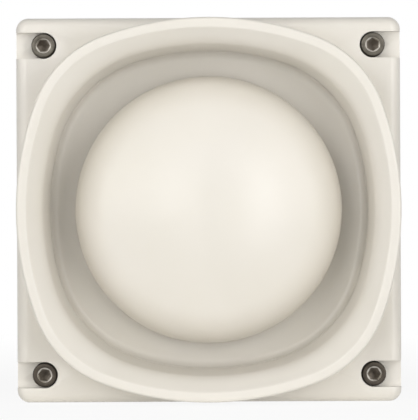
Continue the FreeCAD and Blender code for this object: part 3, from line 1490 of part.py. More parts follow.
def check_and_write():
    """Stop if anything failed, then write each piece."""
    doc.recompute()
    for part in doc.Objects:
        if "Invalid" in part.State or "Error" in part.State:
            raise RuntimeError(f"{part.Name} is {part.State}")
    for piece in pieces:
        if piece.Shape.isNull() or not piece.Shape.isValid():
            raise RuntimeError(f"{piece.Label} has no valid shape")
    os.makedirs("parts", exist_ok=True)
    for piece in pieces:
        piece.Shape.exportStep(f"parts/{piece.Label}.step")
        print(piece.Label, len(piece.Shape.Solids), round(piece.Shape.Volume, 1))


make_back_box()
make_cover_gasket()
make_threaded_inserts()
make_cover_screws()
make_screw_seals()
make_horn_cover()
make_horn_floor()
make_throat_tube()
make_horn_dome()
make_screw_set("dome_screws", "dome_screw", leg_places(), BOWL_BACK, True)
make_driver_gasket()
make_throat_plate()
make_diaphragm()
make_voice_coil()
make_motor()
make_driver_back_cover()
make_driver_tags()
make_screw_set("driver_screws", "driver_screw", driver_places(), f"({PLATE_BACK} - cap_flange)", True)
make_circuit_board()
make_screw_set("board_screws", "board_screw", board_holes(), BOARD_FACE, False)
make_terminal_block()
make_terminal_clamps()
make_terminal_screws()
make_tone_switch()
make_volume_control()
make_capacitors()
make_inductor()
make_output_transistor()
make_controller_chip()
make_rectifier()
make_small_parts("chip_resistors", "small_height / 2", "small_row_y")
make_small_parts("chip_capacitors", "small_height", "small_row_y - small_pitch * 1.5")
make_lead_socket()
make_lead_plug()
make_driver_leads()
make_rear_entry_grommet()
check_and_write()
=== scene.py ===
"""Visual model of a wall-mounted fire alarm siren, built round its solids.

The cover, the dome and the cover screws are meshes in place of their solids. The box, the floor
of the horn, its throat tube and the parts inside are the solids themselves, with materials.
Lengths are in metres. Depths are counted out from the wall.
"""
import math

import bmesh
import bpy
import numpy as np
from mathutils import Matrix, Vector


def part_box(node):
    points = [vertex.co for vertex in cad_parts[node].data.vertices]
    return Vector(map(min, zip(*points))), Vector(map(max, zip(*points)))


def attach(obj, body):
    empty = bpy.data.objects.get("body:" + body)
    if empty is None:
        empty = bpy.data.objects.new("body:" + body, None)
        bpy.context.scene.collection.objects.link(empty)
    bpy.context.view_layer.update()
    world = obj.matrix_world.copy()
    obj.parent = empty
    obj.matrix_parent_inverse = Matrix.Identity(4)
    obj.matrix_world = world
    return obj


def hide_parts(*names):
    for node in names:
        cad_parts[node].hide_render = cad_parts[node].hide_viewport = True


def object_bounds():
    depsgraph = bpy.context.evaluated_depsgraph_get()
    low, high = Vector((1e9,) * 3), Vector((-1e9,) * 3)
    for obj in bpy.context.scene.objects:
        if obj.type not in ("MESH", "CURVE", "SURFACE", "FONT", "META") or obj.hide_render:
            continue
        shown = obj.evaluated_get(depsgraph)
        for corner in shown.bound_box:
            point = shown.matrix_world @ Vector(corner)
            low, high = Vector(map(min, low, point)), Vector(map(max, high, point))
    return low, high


MM = 0.001

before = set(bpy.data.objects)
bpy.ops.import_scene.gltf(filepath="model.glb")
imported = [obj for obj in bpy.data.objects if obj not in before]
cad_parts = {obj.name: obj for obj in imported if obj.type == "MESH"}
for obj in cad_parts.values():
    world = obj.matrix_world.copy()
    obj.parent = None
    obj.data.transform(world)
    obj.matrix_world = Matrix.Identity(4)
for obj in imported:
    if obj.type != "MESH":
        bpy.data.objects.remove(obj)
cad_box = [[float(value) for value in corner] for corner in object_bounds()]


# Sizes read from the frame
def node_depths(name):
    """The depths at which a node starts and ends."""
    low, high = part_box(name)
    return -high[1], -low[1]


def half_width(name):
    """Half of what a node takes up from left to right."""
    low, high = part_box(name)
    return (high[0] - low[0]) / 2


PLAN_HALF = half_width("back_box")
SEAM = node_depths("back_box")[1]
RIM = node_depths("horn_cover")[1]
FLOOR_BACK, WALL_FOOT = node_depths("horn_floor")
DOME_TOP = node_depths("horn_dome")[1]
DOME_RADIUS = half_width("horn_dome")
SCREW_TIP, FLANGE_FACE = node_depths("cover_screws")
POCKET_FLOOR, SCREW_SEAT = node_depths("screw_seals")
SCREW_HEAD_RADIUS = 4.25 * MM
SCREW_AT = half_width("cover_screws") - SCREW_HEAD_RADIUS

# Horn: its rim stands a little inside the housing's sides, and its mouth has a broken edge
RIM_HALF = PLAN_HALF - 0.8 * MM
RIM_BAND = 3.4 * MM
RIM_DRAFT = 0.4 * MM
RIM_ROUND = 1.0 * MM
HORN_WALL = 2.8 * MM
FLOOR = FLOOR_BACK + HORN_WALL
LIP_ROUND = 3.5 * MM
MOUTH_EDGE = 0.5 * MM
MOUTH_EDGE_FLARE = 0.6

# Inner sections of the horn: depth below the rim, half width, how far the centres of the side
# arcs are set back, and how much smaller than the half width the corner arcs are
MOUTH = (0.0, RIM_HALF - RIM_BAND, 39.3 * MM, 27.2 * MM)
LIP = (6.0 * MM, MOUTH[1] - 5.3 * MM, 30.5 * MM, 16.4 * MM)
FOOT = (RIM - WALL_FOOT, LIP[1] - 1.5 * MM, 30.0 * MM, 14.6 * MM)

# Flange and skirt, with the solid corners behind the flange that carry the screws
FLANGE_WALL = 3.2 * MM
FLANGE_ROUND = 3.5 * MM
SEAM_CHAMFER = 0.5 * MM
PLAN_CORNER = 4.2 * MM
SIDE_WALL = 3.6 * MM
INNER_CORNER = 2.0 * MM
CORNER_BLOCK = 16.0 * MM
CORNER_BLOCK_ROUND = 4.0 * MM

# Dome: how high its crown stands over the top of its skirt, the radius of its shoulder, and legs
DOME_CROWN = 26.0 * MM
DOME_SHOULDER = 20.0 * MM
DOME_SKIRT = 3.0 * MM
DOME_WALL = 2.5 * MM
LEG_COUNT = 3
LEG_CIRCLE = 37.5 * MM
LEG_RADIUS = 3.5 * MM
LEG_CHAMFER = 0.3 * MM

# Screw pockets and screws. A cutter reaches past what it cuts.
POCKET_RADIUS = SCREW_HEAD_RADIUS + 0.25 * MM
POCKET_EDGE = 0.25 * MM
CUT_PAST = 2.0 * MM
SCREW_RADIUS = 2.5 * MM
SCREW_HOLE_RADIUS = 2.75 * MM
SCREW_TIP_CHAMFER = 0.8 * MM
HEAD_FOOT_CHAMFER = 0.3 * MM
HEAD_CHAMFER = 0.5 * MM
KNURL_TEETH = 48
KNURL_DEPTH = 0.16 * MM
KNURL_MARGIN = 0.25 * MM
SOCKET_FLAT = 2.0 * MM
SOCKET_DEPTH = 2.6 * MM
SOCKET_RING = 2.55 * MM
SOCKET_RING_EDGE = 0.06 * MM
SOCKET_RING_DROP = 0.02 * MM
SOCKET_LEAD_IN = 0.75
SOCKET_DRILL = 0.94 * SOCKET_FLAT
SOCKET_DRILL_POINT = 0.55 * SOCKET_FLAT
SOCKET_WALL_MARGIN = 0.01 * MM

# How far each socket is turned, in degrees, by the screw's side and height: 1 is right or upper
SCREW_TURNS = {(-1, 1): 33.0, (1, 1): 2.0, (-1, -1): 20.0, (1, -1): 30.0}

# How finely outlines and turned pieces are divided, and the ring that stands for a point
SIDE_STEPS = 40
CORNER_STEPS = 24
TURN_STEPS = 192
LEG_STEPS = 48
HOLE_STEPS = 48
POINT = 0.002 * MM

# Rings or points along an arc or a slope, with both ends
ROUND_COUNT = 9
MOUTH_EDGE_COUNT = 6
LIP_COUNT, CREASE_COUNT, WALL_COUNT = 6, 9, 12
REAR_COUNT = 5
POCKET_COUNT = 33
CROWN_COUNT, SHOULDER_COUNT, FOOT_COUNT = 40, 32, 13
HEAD_CHAMFER_COUNT = 6

# Degrees between two faces from which an edge stays sharp, or is bevelled
MOULDED_CREASE = 40
EDGED_CREASE = 32
STEEL_CREASE = 28
BEVEL_FROM = 50

# Camera: straight in front of the cover, with the picture's height measured on the cover
CAMERA_DISTANCE = 1.3
CAMERA_ROLL = math.radians(-0.26)
CAMERA_SHIFT_X = 0.09 * MM
CAMERA_SHIFT_Z = -0.09 * MM
FRAME_HEIGHT_AT_COVER = 144.08 * MM
SENSOR = 36.0

# Studio: how white the table is to the camera near the housing, where it is plain white, and the
# light from all round
TABLE_SIZE = 8.0
TABLE_GAP = 0.2 * MM
GLOW_NEAR = 0.9
GLOW_STARTS, GLOW_FULL = 0.12, 0.6
WORLD_LEVEL = 0.16

# Softboxes: azimuth and elevation in degrees from the camera's side of the cover, positive to the
# right and up, then distance, width, height and watts
SOFTBOXES = {
    "left_strip": (-20, 3, 1.3, 0.3, 1.0, 3.8),
    "right_strip": (28, 3, 1.3, 0.3, 1.0, 4.8),
    "left_front": (-48, 0, 1.4, 0.9, 1.4, 6.2),
    "right_front": (48, 0, 1.4, 0.9, 1.4, 4.8),
    "front_top": (0, 35, 1.4, 1.6, 0.5, 2.9),
    "front_wide": (0, 0, 1.6, 1.0, 1.0, 1.8),
}

# The housing's off-white, and its tint in the darker clouds
ABS_COLOUR = "E6E1D8"
ABS_SHADE = "E3DED3"

# Finishes of the parts inside: two near tints, roughness, metallic, the sizes of the grain and of
# the patches in mm, the height of the relief in mm, and the IOR. Grain that is really finer than
# 0.3 mm is drawn at about that size, so that it shows.
PLAIN_FINISHES = {
    # Moulded nylon with glass in it: black and half matt, with a faint bloom
    "black_nylon": ("1C1C1E", "151517", 0.5, 0.0, 0.5, 9.0, 0.015, 1.53),
    # Moulded rubber: black and quite matt, with a soft grain
    "nitrile_rubber": ("191918", "121211", 0.72, 0.0, 0.7, 5.0, 0.03, 1.52),
    # Brass off the lathe: yellow and bright, with fine marks of the tool
    "turned_brass": ("C9A55C", "B08D46", 0.3, 1.0, 0.3, 4.0, 0.008, 1.5),
    # Zinc on steel: pale and a little blue, duller in patches
    "zinc_plate": ("C3C4C6", "A8A9AC", 0.34, 1.0, 0.3, 3.0, 0.008, 1.5),
    # Fired and ground ferrite: dark grey, dull and stony
    "ground_ferrite": ("2B2B2D", "232325", 0.6, 0.0, 0.35, 6.0, 0.02, 1.6),
    # Pressed film of phenolic resin: brown with a low gloss
    "phenolic_film": ("5A3318", "472711", 0.35, 0.0, 0.8, 6.0, 0.02, 1.6),
    # Wound copper wire under clear enamel: a warm, uneven shine
    "enamelled_copper": ("B5652F", "8F4A20", 0.32, 1.0, 0.3, 2.0, 0.03, 1.5),
    # Moulded polyamide: plain green and satin
    "green_polyamide": ("3F7A4A", "356B40", 0.45, 0.0, 0.5, 7.0, 0.012, 1.53),
    # Moulded polyester: hard, even and a little glossy
    "red_polyester": ("A02A22", "8C231C", 0.38, 0.0, 0.5, 6.0, 0.01, 1.55),
    "blue_polyester": ("23508F", "1C447D", 0.38, 0.0, 0.5, 6.0, 0.01, 1.55),
    # Moulded acetal: white and a little waxy
    "white_acetal": ("E4E2DA", "DAD8CF", 0.36, 0.0, 0.5, 6.0, 0.008, 1.48),
    # Shrunk vinyl sleeve: dark blue, with a clear highlight along the can
    "capacitor_sleeve": ("1E2A44", "18223A", 0.3, 0.0, 0.9, 6.0, 0.01, 1.5),
    # Epoxy off a blasted mould: black, with a fine matt grain
    "black_epoxy": ("1B1B1C", "141415", 0.42, 0.0, 0.3, 3.0, 0.012, 1.55),
    # Moulded nylon without pigment: milky and a little yellow
    "natural_nylon": ("E0DACB", "D6D0C0", 0.42, 0.0, 0.5, 6.0, 0.01, 1.53),
    # Extruded PVC: smooth, with a soft gloss
    "red_pvc": ("A6221C", "951C17", 0.4, 0.0, 0.6, 6.0, 0.01, 1.52),
    "black_pvc": ("19191A", "131314", 0.42, 0.0, 0.6, 6.0, 0.01, 1.52),
}

# The nodes that have each finish
NODE_FINISHES = {
    "black_nylon": ("throat_plate", "driver_back_cover"),
    "nitrile_rubber": ("cover_gasket", "screw_seals", "driver_gasket", "rear_entry_grommet"),
    "turned_brass": ("threaded_inserts", "terminal_clamps", "driver_tags"),
    "zinc_plate": ("dome_screws", "driver_screws", "board_screws", "terminal_screws",
                   "top_plate", "pole_yoke"),
    "ground_ferrite": ("magnet_ring", "inductor_core"),
    "phenolic_film": ("diaphragm",),
    "enamelled_copper": ("voice_coil", "inductor_winding"),
    "green_polyamide": ("terminal_block",),
    "red_polyester": ("tone_switch_body",),
    "white_acetal": ("tone_lever_1", "tone_lever_2", "tone_lever_3", "tone_lever_4",
                     "tone_lever_5", "volume_rotor"),
    "blue_polyester": ("volume_control_body",),
    "capacitor_sleeve": ("smoothing_capacitors",),
    "black_epoxy": ("output_transistor", "controller_chip", "rectifier", "chip_resistors",
                    "chip_capacitors"),
    "natural_nylon": ("lead_socket", "lead_plug"),
    "red_pvc": ("driver_lead_red",),
    "black_pvc": ("driver_lead_black",),
}


def spaced(first, last, count):
    """Evenly spaced numbers, with both ends."""
    return [first + (last - first) * k / (count - 1) for k in range(count)]


# Outlines
def four_times(quarter):
    """A quarter of an outline, turned on to make the whole."""
    ring = []
    for _ in range(4):
        ring += quarter
        quarter = [(-y, x) for x, y in quarter]
    return ring


def horn_ring(half, set_back, corner_cut):
    """Points on eight tangent arcs, anticlockwise from the middle of the right side."""
    between = set_back + corner_cut
    corner = (math.sqrt(2 * between ** 2 - set_back ** 2) - set_back) / 2
    join = math.atan2(corner, corner + set_back)
    side, tight = half + set_back, half - corner_cut
    quarter = []
    for turn in spaced(0, join, SIDE_STEPS // 2 + 1)[:-1]:
        quarter.append((side * math.cos(turn) - set_back, side * math.sin(turn)))
    for turn in spaced(join, math.pi / 2 - join, CORNER_STEPS + 1)[:-1]:
        quarter.append((corner + tight * math.cos(turn), corner + tight * math.sin(turn)))
    for turn in spaced(math.pi / 2 - join, math.pi / 2, SIDE_STEPS // 2 + 1)[:-1]:
        quarter.append((side * math.cos(turn), side * math.sin(turn) - set_back))
    return four_times(quarter)


def plan_ring(half, corner):
    """Points on a square with round corners, matched one to one with the horn's."""
    flat = half - corner
    quarter = [(half, y) for y in spaced(0, flat, SIDE_STEPS // 2 + 1)[:-1]]
    for turn in spaced(0, math.pi / 2, CORNER_STEPS + 1)[:-1]:
        quarter.append((flat + corner * math.cos(turn), flat + corner * math.sin(turn)))
    quarter += [(x, half) for x in spaced(flat, 0, SIDE_STEPS // 2 + 1)[:-1]]
    return four_times(quarter)


def circle_ring(radius, steps):
    turns = [2 * math.pi * k / steps for k in range(steps)]
    return [(radius * math.cos(turn), radius * math.sin(turn)) for turn in turns]


def moved(ring, across, up):
    """An outline in another place."""
    return [(x + across, y + up) for x, y in ring]


def turned_rings(profile, steps):
    """Circles through a profile of (radius, depth)."""
    return [(circle_ring(max(radius, POINT), steps), depth) for radius, depth in profile]


# Meshes
def stand(x, y, depth):
    """A place given across, up and out from the wall."""
    return Vector((x, -depth, y))


def fix_normals(mesh):
    """Weld points that coincide and turn all faces outward."""
    sheet = bmesh.new()
    sheet.from_mesh(mesh)
    bmesh.ops.remove_doubles(sheet, verts=sheet.verts, dist=POINT / 2)
    bmesh.ops.recalc_face_normals(sheet, faces=sheet.faces)
    sheet.to_mesh(mesh)
    sheet.free()


def skin(name, rings, closed=False, capped=False):
    """A quad mesh through rings of (points, depth).

    A ring has one depth, or a list with one for each point. Closed joins the last ring to the
    first, and capped fills both ends.
    """
    around = len(rings[0][0])
    points = []
    for ring, depth in rings:
        depths = depth if isinstance(depth, list) else [depth] * around
        points += [stand(x, y, out) for (x, y), out in zip(ring, depths)]
    faces = []
    for k in range(len(rings) if closed else len(rings) - 1):
        low, high = k * around, (k + 1) % len(rings) * around
        for j in range(around):
            right = (j + 1) % around
            faces.append((low + j, low + right, high + right, high + j))
    if capped:
        faces.append(tuple(reversed(range(around))))
        faces.append(tuple(range((len(rings) - 1) * around, len(rings) * around)))
    mesh = bpy.data.meshes.new(name)
    mesh.from_pydata(points, [], faces)
    fix_normals(mesh)
    return mesh


def new_object(name, data):
    thing = bpy.data.objects.new(name, data)
    bpy.context.scene.collection.objects.link(thing)
    return thing


def new_piece(name, mesh):
    """An object that is part of the housing."""
    piece = new_object(name, mesh)
    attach(piece, "housing")
    return piece


def new_block(name, ring, low, high):
    """A solid with straight sides between two depths, to join to a piece or cut from it."""
    return new_object(name, skin(name, [(ring, low), (ring, high)], capped=True))


def smooth(piece, angle):
    """Smooth shading with creases where faces meet at more than an angle in degrees."""
    mesh = piece.data
    mesh.polygons.foreach_set("use_smooth", [True] * len(mesh.polygons))
    mesh.set_sharp_from_angle(angle=math.radians(angle))


def apply_modifiers(piece):
    """Keep what the modifiers made, and drop them."""
    graph = bpy.context.evaluated_depsgraph_get()
    mesh = bpy.data.meshes.new_from_object(piece.evaluated_get(graph))
    piece.modifiers.clear()
    piece.data = mesh


def combine(piece, operation, block):
    """Join a block to a piece, or cut it away, and remove the block."""
    boolean = piece.modifiers.new("combine", "BOOLEAN")
    boolean.operation = operation
    boolean.solver = "EXACT"
    boolean.object = block
    apply_modifiers(piece)
    bpy.data.objects.remove(block)


def bevel_edges(piece, width, angle):
    """Round over the edges where faces meet at more than an angle in degrees."""
    rounded = piece.modifiers.new("edges", "BEVEL")
    rounded.width = width
    rounded.segments = 3
    rounded.limit_method = "ANGLE"
    rounded.angle_limit = math.radians(angle)
    rounded.harden_normals = False
    apply_modifiers(piece)


# Materials
def hex_colour(code):
    """A colour written as sRGB hex, turned to linear light."""
    parts = [int(code[k:k + 2], 16) / 255 for k in (0, 2, 4)]
    return [part / 12.92 if part <= 0.04045 else ((part + 0.055) / 1.055) ** 2.4
            for part in parts] + [1.0]


def add(tree, kind, settings=None, **inputs):
    """Add a node with its settings and links.

    An input is a value or a socket to link, and goes by its name, or by its number as in _1. The
    setting called stops gives a ramp its places and colours.
    """
    node = tree.nodes.new("ShaderNode" + kind)
    for name, value in (settings or {}).items():
        if name != "stops":
            setattr(node, name, value)
            continue
        for stop, (position, code) in zip(node.color_ramp.elements, value):
            stop.position = position
            stop.color = hex_colour(code)
    for name, value in inputs.items():
        key = int(name[1:]) if name[0] == "_" else name.replace("_", " ")
        if isinstance(value, bpy.types.NodeSocket):
            tree.links.new(value, node.inputs[key])
        else:
            node.inputs[key].default_value = value
    return node


def per_metre(millimetres):
    """The scale at which a pattern repeats once in so many millimetres."""
    return 1 / (millimetres * MM)


def new_material(name):
    material = bpy.data.materials.new(name)
    material.use_nodes = True
    material.node_tree.nodes.clear()
    return material, material.node_tree


def make_moulded_abs():
    """Off-white ABS from a sparked mould: satin, with soft clouds of tint and of gloss.

    The marks of the spark are a few hundredths of a millimetre across, and drawn coarser to show.
    """
    material, tree = new_material("moulded_abs")
    place = add(tree, "TexCoord").outputs["Object"]
    clouds = add(tree, "TexNoise", Vector=place, Scale=per_metre(38), Detail=3.0, Roughness=0.55)
    tint = add(tree, "ValToRGB", {"stops": ((0.25, ABS_SHADE), (0.75, ABS_COLOUR))},
               Fac=clouds.outputs["Fac"])
    handled = add(tree, "TexNoise", Vector=place, Scale=per_metre(14), Detail=4.0, Roughness=0.6)
    gloss = add(tree, "MapRange", Value=handled.outputs["Fac"], To_Min=0.3, To_Max=0.38)
    spark = add(tree, "TexNoise", Vector=place, Scale=per_metre(0.45), Detail=2.0, Roughness=0.6)
    relief = add(tree, "Bump", Height=spark.outputs["Fac"], Distance=0.012 * MM, Strength=0.35)
    surface = add(tree, "BsdfPrincipled", IOR=1.54, Base_Color=tint.outputs["Color"],
                  Roughness=gloss.outputs["Result"], Normal=relief.outputs["Normal"])
    add(tree, "OutputMaterial", Surface=surface.outputs["BSDF"])
    return material


def make_turned_steel(name, light, dark, roughness):
    """Stainless steel off the lathe: grey and bright under a dull film of handling.

    The marks of the tool are finer than the grain that is drawn for them.
    """
    material, tree = new_material(name)
    place = add(tree, "TexCoord").outputs["Object"]
    film = add(tree, "TexNoise", Vector=place, Scale=per_metre(2.2), Detail=5.0, Roughness=0.65)
    tint = add(tree, "ValToRGB", {"stops": ((0.3, dark), (0.65, light))}, Fac=film.outputs["Fac"])
    gloss = add(tree, "MapRange", Value=film.outputs["Fac"],
                To_Min=roughness + 0.12, To_Max=roughness - 0.06)
    grain = add(tree, "TexNoise", Vector=place, Scale=per_metre(0.25), Detail=3.0, Roughness=0.7)
    relief = add(tree, "Bump", Height=grain.outputs["Fac"], Distance=0.01 * MM, Strength=0.5)
    surface = add(tree, "BsdfPrincipled", Metallic=1.0, Base_Color=tint.outputs["Color"],
                  Roughness=gloss.outputs["Result"], Normal=relief.outputs["Normal"])
    add(tree, "OutputMaterial", Surface=surface.outputs["BSDF"])
    return material


def make_plain(name, base, shade, roughness, metallic, grain_mm, patch_mm, depth_mm, ior):
    """One even material: two near tints in soft patches, and a fine grain in the relief."""
    material, tree = new_material(name)
    place = add(tree, "TexCoord").outputs["Object"]
    patches = add(tree, "TexNoise", Vector=place, Scale=per_metre(patch_mm), Detail=4.0,
                  Roughness=0.6)
    tint = add(tree, "ValToRGB", {"stops": ((0.3, shade), (0.7, base))},
               Fac=patches.outputs["Fac"])
    gloss = add(tree, "MapRange", Value=patches.outputs["Fac"],
                To_Min=roughness + 0.06, To_Max=roughness - 0.05)
    grain = add(tree, "TexNoise", Vector=place, Scale=per_metre(grain_mm), Detail=3.0,
                Roughness=0.6)
    relief = add(tree, "Bump", Height=grain.outputs["Fac"], Distance=depth_mm * MM, Strength=0.5)
    surface = add(tree, "BsdfPrincipled", Metallic=metallic, IOR=ior,
                  Base_Color=tint.outputs["Color"], Roughness=gloss.outputs["Result"],
                  Normal=relief.outputs["Normal"])
    add(tree, "OutputMaterial", Surface=surface.outputs["BSDF"])
    return material


def make_circuit_laminate():
    """Glass laminate under green solder mask: the weave and the copper show faintly through."""
    material, tree = new_material("circuit_laminate")
    place = add(tree, "TexCoord").outputs["Object"]
    tracks = add(tree, "TexBrick", Vector=place, Scale=per_metre(9.0))
    mask = add(tree, "ValToRGB", {"stops": ((0.1, "14512B"), (0.9, "1B6638"))},
               Fac=tracks.outputs["Fac"])
    weave = add(tree, "TexChecker", Vector=place, Scale=per_metre(0.9))
    relief = add(tree, "Bump", Height=weave.outputs["Fac"], Distance=0.01 * MM, Strength=0.3)
    surface = add(tree, "BsdfPrincipled", IOR=1.5, Roughness=0.3,
                  Base_Color=mask.outputs["Color"], Normal=relief.outputs["Normal"])
    add(tree, "OutputMaterial", Surface=surface.outputs["BSDF"])
    return material


def give(node, material):
    """Assign one material to all of a solid's node."""
    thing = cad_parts[node]
    for slot in thing.material_slots:
        slot.material = material
    if not thing.material_slots:
        thing.data.materials.append(material)


def finish_solids(abs_plastic):
    """Materials on the nodes that stay as they are."""
    for node in ("back_box", "horn_floor", "throat_tube"):
        give(node, abs_plastic)
    for name, values in PLAIN_FINISHES.items():
        material = make_plain(name, *values)
        for node in NODE_FINISHES[name]:
            give(node, material)
    give("circuit_board", make_circuit_laminate())


# Horn
def section_at(below):
    """The inner section at a depth below the rim, straight between the named ones."""
    known = np.array((MOUTH, LIP, FOOT))
    return [float(np.interp(below, known[:, 0], known[:, column])) for column in (1, 2, 3)]


def lip_section(below):
    """The inner section with the crease under the lip rounded over."""
    if abs(below - LIP[0]) > LIP_ROUND:
        return section_at(below)
    start, end = section_at(LIP[0] - LIP_ROUND), section_at(LIP[0] + LIP_ROUND)
    share = (below - LIP[0] + LIP_ROUND) / (2 * LIP_ROUND)
    return [first * (1 - share) ** 2 + 2 * crease * share * (1 - share) + last * share ** 2
            for first, crease, last in zip(start, LIP[1:], end)]


def front_rings():
    """From the flange over the rim and the lip, and down the wall to its foot."""
    rings = [(horn_ring(RIM_HALF + RIM_DRAFT, *MOUTH[2:]), FLANGE_FACE - FLANGE_ROUND)]
    for turn in spaced(0, math.pi / 2, ROUND_COUNT):
        half = RIM_HALF - RIM_ROUND * (1 - math.cos(turn))
        rings.append((horn_ring(half, *MOUTH[2:]), RIM - RIM_ROUND + RIM_ROUND * math.sin(turn)))
    for share in spaced(0, 1, MOUTH_EDGE_COUNT):
        below = MOUTH_EDGE * share ** 2
        half, set_back, corner_cut = section_at(below)
        reach = half + MOUTH_EDGE * MOUTH_EDGE_FLARE * (1 - share) ** 2
        rings.append((horn_ring(reach, set_back, corner_cut), RIM - below))
    start, end = LIP[0] - LIP_ROUND, LIP[0] + LIP_ROUND
    for first, last, count in ((MOUTH_EDGE, start, LIP_COUNT), (start, end, CREASE_COUNT),
                               (end, FOOT[0], WALL_COUNT)):
        for below in spaced(first, last, count)[1:]:
            rings.append((horn_ring(*lip_section(below)), RIM - below))
    return rings


def rear_rings():
    """Rear of the wall, from its foot out to the flange."""
    rings = []
    for depth in spaced(WALL_FOOT, FLANGE_FACE - FLANGE_WALL, REAR_COUNT):
        half, set_back, corner_cut = section_at(RIM - depth)
        rings.append((horn_ring(half + HORN_WALL, set_back, corner_cut), depth))
    return rings


def build_horn(abs_plastic):
    rings = front_rings() + rear_rings()
    horn = new_piece("moulded_horn", skin("moulded_horn", rings, closed=True))
    smooth(horn, MOULDED_CREASE)
    horn.data.materials.append(abs_plastic)
    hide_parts("horn_cover")


# Flange
def flange_rings():
    """The skirt and flange as a square ring whose hole the horn's wall covers."""
    inner = plan_ring(PLAN_HALF - SIDE_WALL, INNER_CORNER)
    rings = [
        (inner, SEAM),
        (plan_ring(PLAN_HALF - SEAM_CHAMFER, PLAN_CORNER - SEAM_CHAMFER), SEAM),
        (plan_ring(PLAN_HALF, PLAN_CORNER), SEAM + SEAM_CHAMFER),
    ]
    for turn in spaced(0, math.pi / 2, ROUND_COUNT):
        inset = FLANGE_ROUND * (1 - math.cos(turn))
        rings.append((plan_ring(PLAN_HALF - inset, PLAN_CORNER - inset),
                      FLANGE_FACE - FLANGE_ROUND + FLANGE_ROUND * math.sin(turn)))
    hole = horn_ring(RIM_HALF - RIM_BAND / 2, *MOUTH[2:])
    rear = FLANGE_FACE - FLANGE_WALL
    return rings + [(hole, FLANGE_FACE), (hole, rear), (inner, rear)]


def corner_ring(side_x, side_y):
    """Outline of the solid corner behind the flange that a screw pocket is cut into."""
    low, high = PLAN_HALF - CORNER_BLOCK, PLAN_HALF - SIDE_WALL / 2
    middle = (low + high) / 2
    return moved(plan_ring((high - low) / 2, CORNER_BLOCK_ROUND), side_x * middle, side_y * middle)


def pocket_ring(side_x, side_y):
    """Outline of a screw pocket: round at the screw, open through the side."""
    x, y = side_x * SCREW_AT, side_y * SCREW_AT
    past = side_x * (PLAN_HALF + CUT_PAST)
    ring = [(x + side_x * POCKET_RADIUS * math.cos(turn), y + POCKET_RADIUS * math.sin(turn))
            for turn in spaced(math.pi / 2, 3 * math.pi / 2, POCKET_COUNT)]
    return ring + [(past, y - POCKET_RADIUS), (past, y + POCKET_RADIUS)]


def build_flange(abs_plastic):
    flange = new_piece("moulded_flange", skin("moulded_flange", flange_rings(), closed=True))
    for side_x in (1, -1):
        for side_y in (1, -1):
            hole = moved(circle_ring(SCREW_HOLE_RADIUS, HOLE_STEPS),
                         side_x * SCREW_AT, side_y * SCREW_AT)
            combine(flange, "UNION", new_block(
                "corner", corner_ring(side_x, side_y), SEAM, FLANGE_FACE - FLANGE_WALL / 2))
            combine(flange, "DIFFERENCE", new_block(
                "pocket", pocket_ring(side_x, side_y), POCKET_FLOOR, FLANGE_FACE + CUT_PAST))
            combine(flange, "DIFFERENCE", new_block("hole", hole, SEAM - CUT_PAST, FLANGE_FACE))
    bevel_edges(flange, POCKET_EDGE, BEVEL_FROM)
    smooth(flange, EDGED_CREASE)
    flange.data.materials.clear()
    flange.data.materials.append(abs_plastic)
    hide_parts("horn_cover")


# Dome
def dome_profile():
    """Radius and depth along the dome: crown arc, shoulder arc, skirt, rounded foot and inside."""
    waist = DOME_TOP - DOME_CROWN
    inner = DOME_RADIUS - DOME_SHOULDER
    crown = (inner ** 2 + DOME_CROWN ** 2 - DOME_SHOULDER ** 2) / (2 * (DOME_CROWN - DOME_SHOULDER))
    centre = DOME_TOP - crown
    lean = math.atan2(waist - centre, inner)
    arcs = [(crown, 0.0, centre, turn) for turn in spaced(math.pi / 2, lean, CROWN_COUNT)[:-1]]
    arcs += [(DOME_SHOULDER, inner, waist, turn) for turn in spaced(lean, 0, SHOULDER_COUNT)]

    def along(inset):
        return [(x + (radius - inset) * math.cos(turn), depth + (radius - inset) * math.sin(turn))
                for radius, x, depth, turn in arcs]

    bead = DOME_WALL / 2
    foot = [(DOME_RADIUS - bead + bead * math.cos(turn),
             waist - DOME_SKIRT + bead - bead * math.sin(turn))
            for turn in spaced(0, math.pi, FOOT_COUNT)]
    return along(0.0) + foot + along(DOME_WALL)[::-1]


def leg_top(x, y):
    """Depth at which a leg ends, in the middle of the dome's wall."""
    across = math.hypot(x, y) - DOME_RADIUS + DOME_SHOULDER
    shoulder = DOME_SHOULDER - DOME_WALL / 2
    return DOME_TOP - DOME_CROWN + math.sqrt(shoulder ** 2 - across ** 2)


def leg_rings(x, y):
    """From the floor of the horn up into the dome."""
    foot = [(0.0, FLOOR), (LEG_RADIUS - LEG_CHAMFER, FLOOR), (LEG_RADIUS, FLOOR + LEG_CHAMFER)]
    rings = [(moved(ring, x, y), depth) for ring, depth in turned_rings(foot, LEG_STEPS)]
    for radius in (LEG_RADIUS, POINT):
        ring = moved(circle_ring(radius, LEG_STEPS), x, y)
        rings.append((ring, [leg_top(*point) for point in ring]))
    return rings


def build_dome(abs_plastic):
    rings = turned_rings(dome_profile(), TURN_STEPS)
    dome = new_piece("moulded_dome", skin("moulded_dome", rings))
    smooth(dome, MOULDED_CREASE)
    dome.data.materials.append(abs_plastic)
    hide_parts("horn_dome")
    for number in range(LEG_COUNT):
        turn = math.pi / 2 + 2 * math.pi * number / LEG_COUNT
        rings = leg_rings(LEG_CIRCLE * math.cos(turn), LEG_CIRCLE * math.sin(turn))
        leg = new_piece(f"dome_leg_{number + 1}", skin("dome_leg", rings))
        smooth(leg, EDGED_CREASE)
        leg.data.materials.append(abs_plastic)
        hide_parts("horn_dome")


# Cover screws
def hexagon_reach(turn):
    """Distance from the middle of the socket to its wall in one direction."""
    slice_turn = (turn + math.pi / 6) % (math.pi / 3) - math.pi / 6
    return SOCKET_FLAT / math.cos(slice_turn)


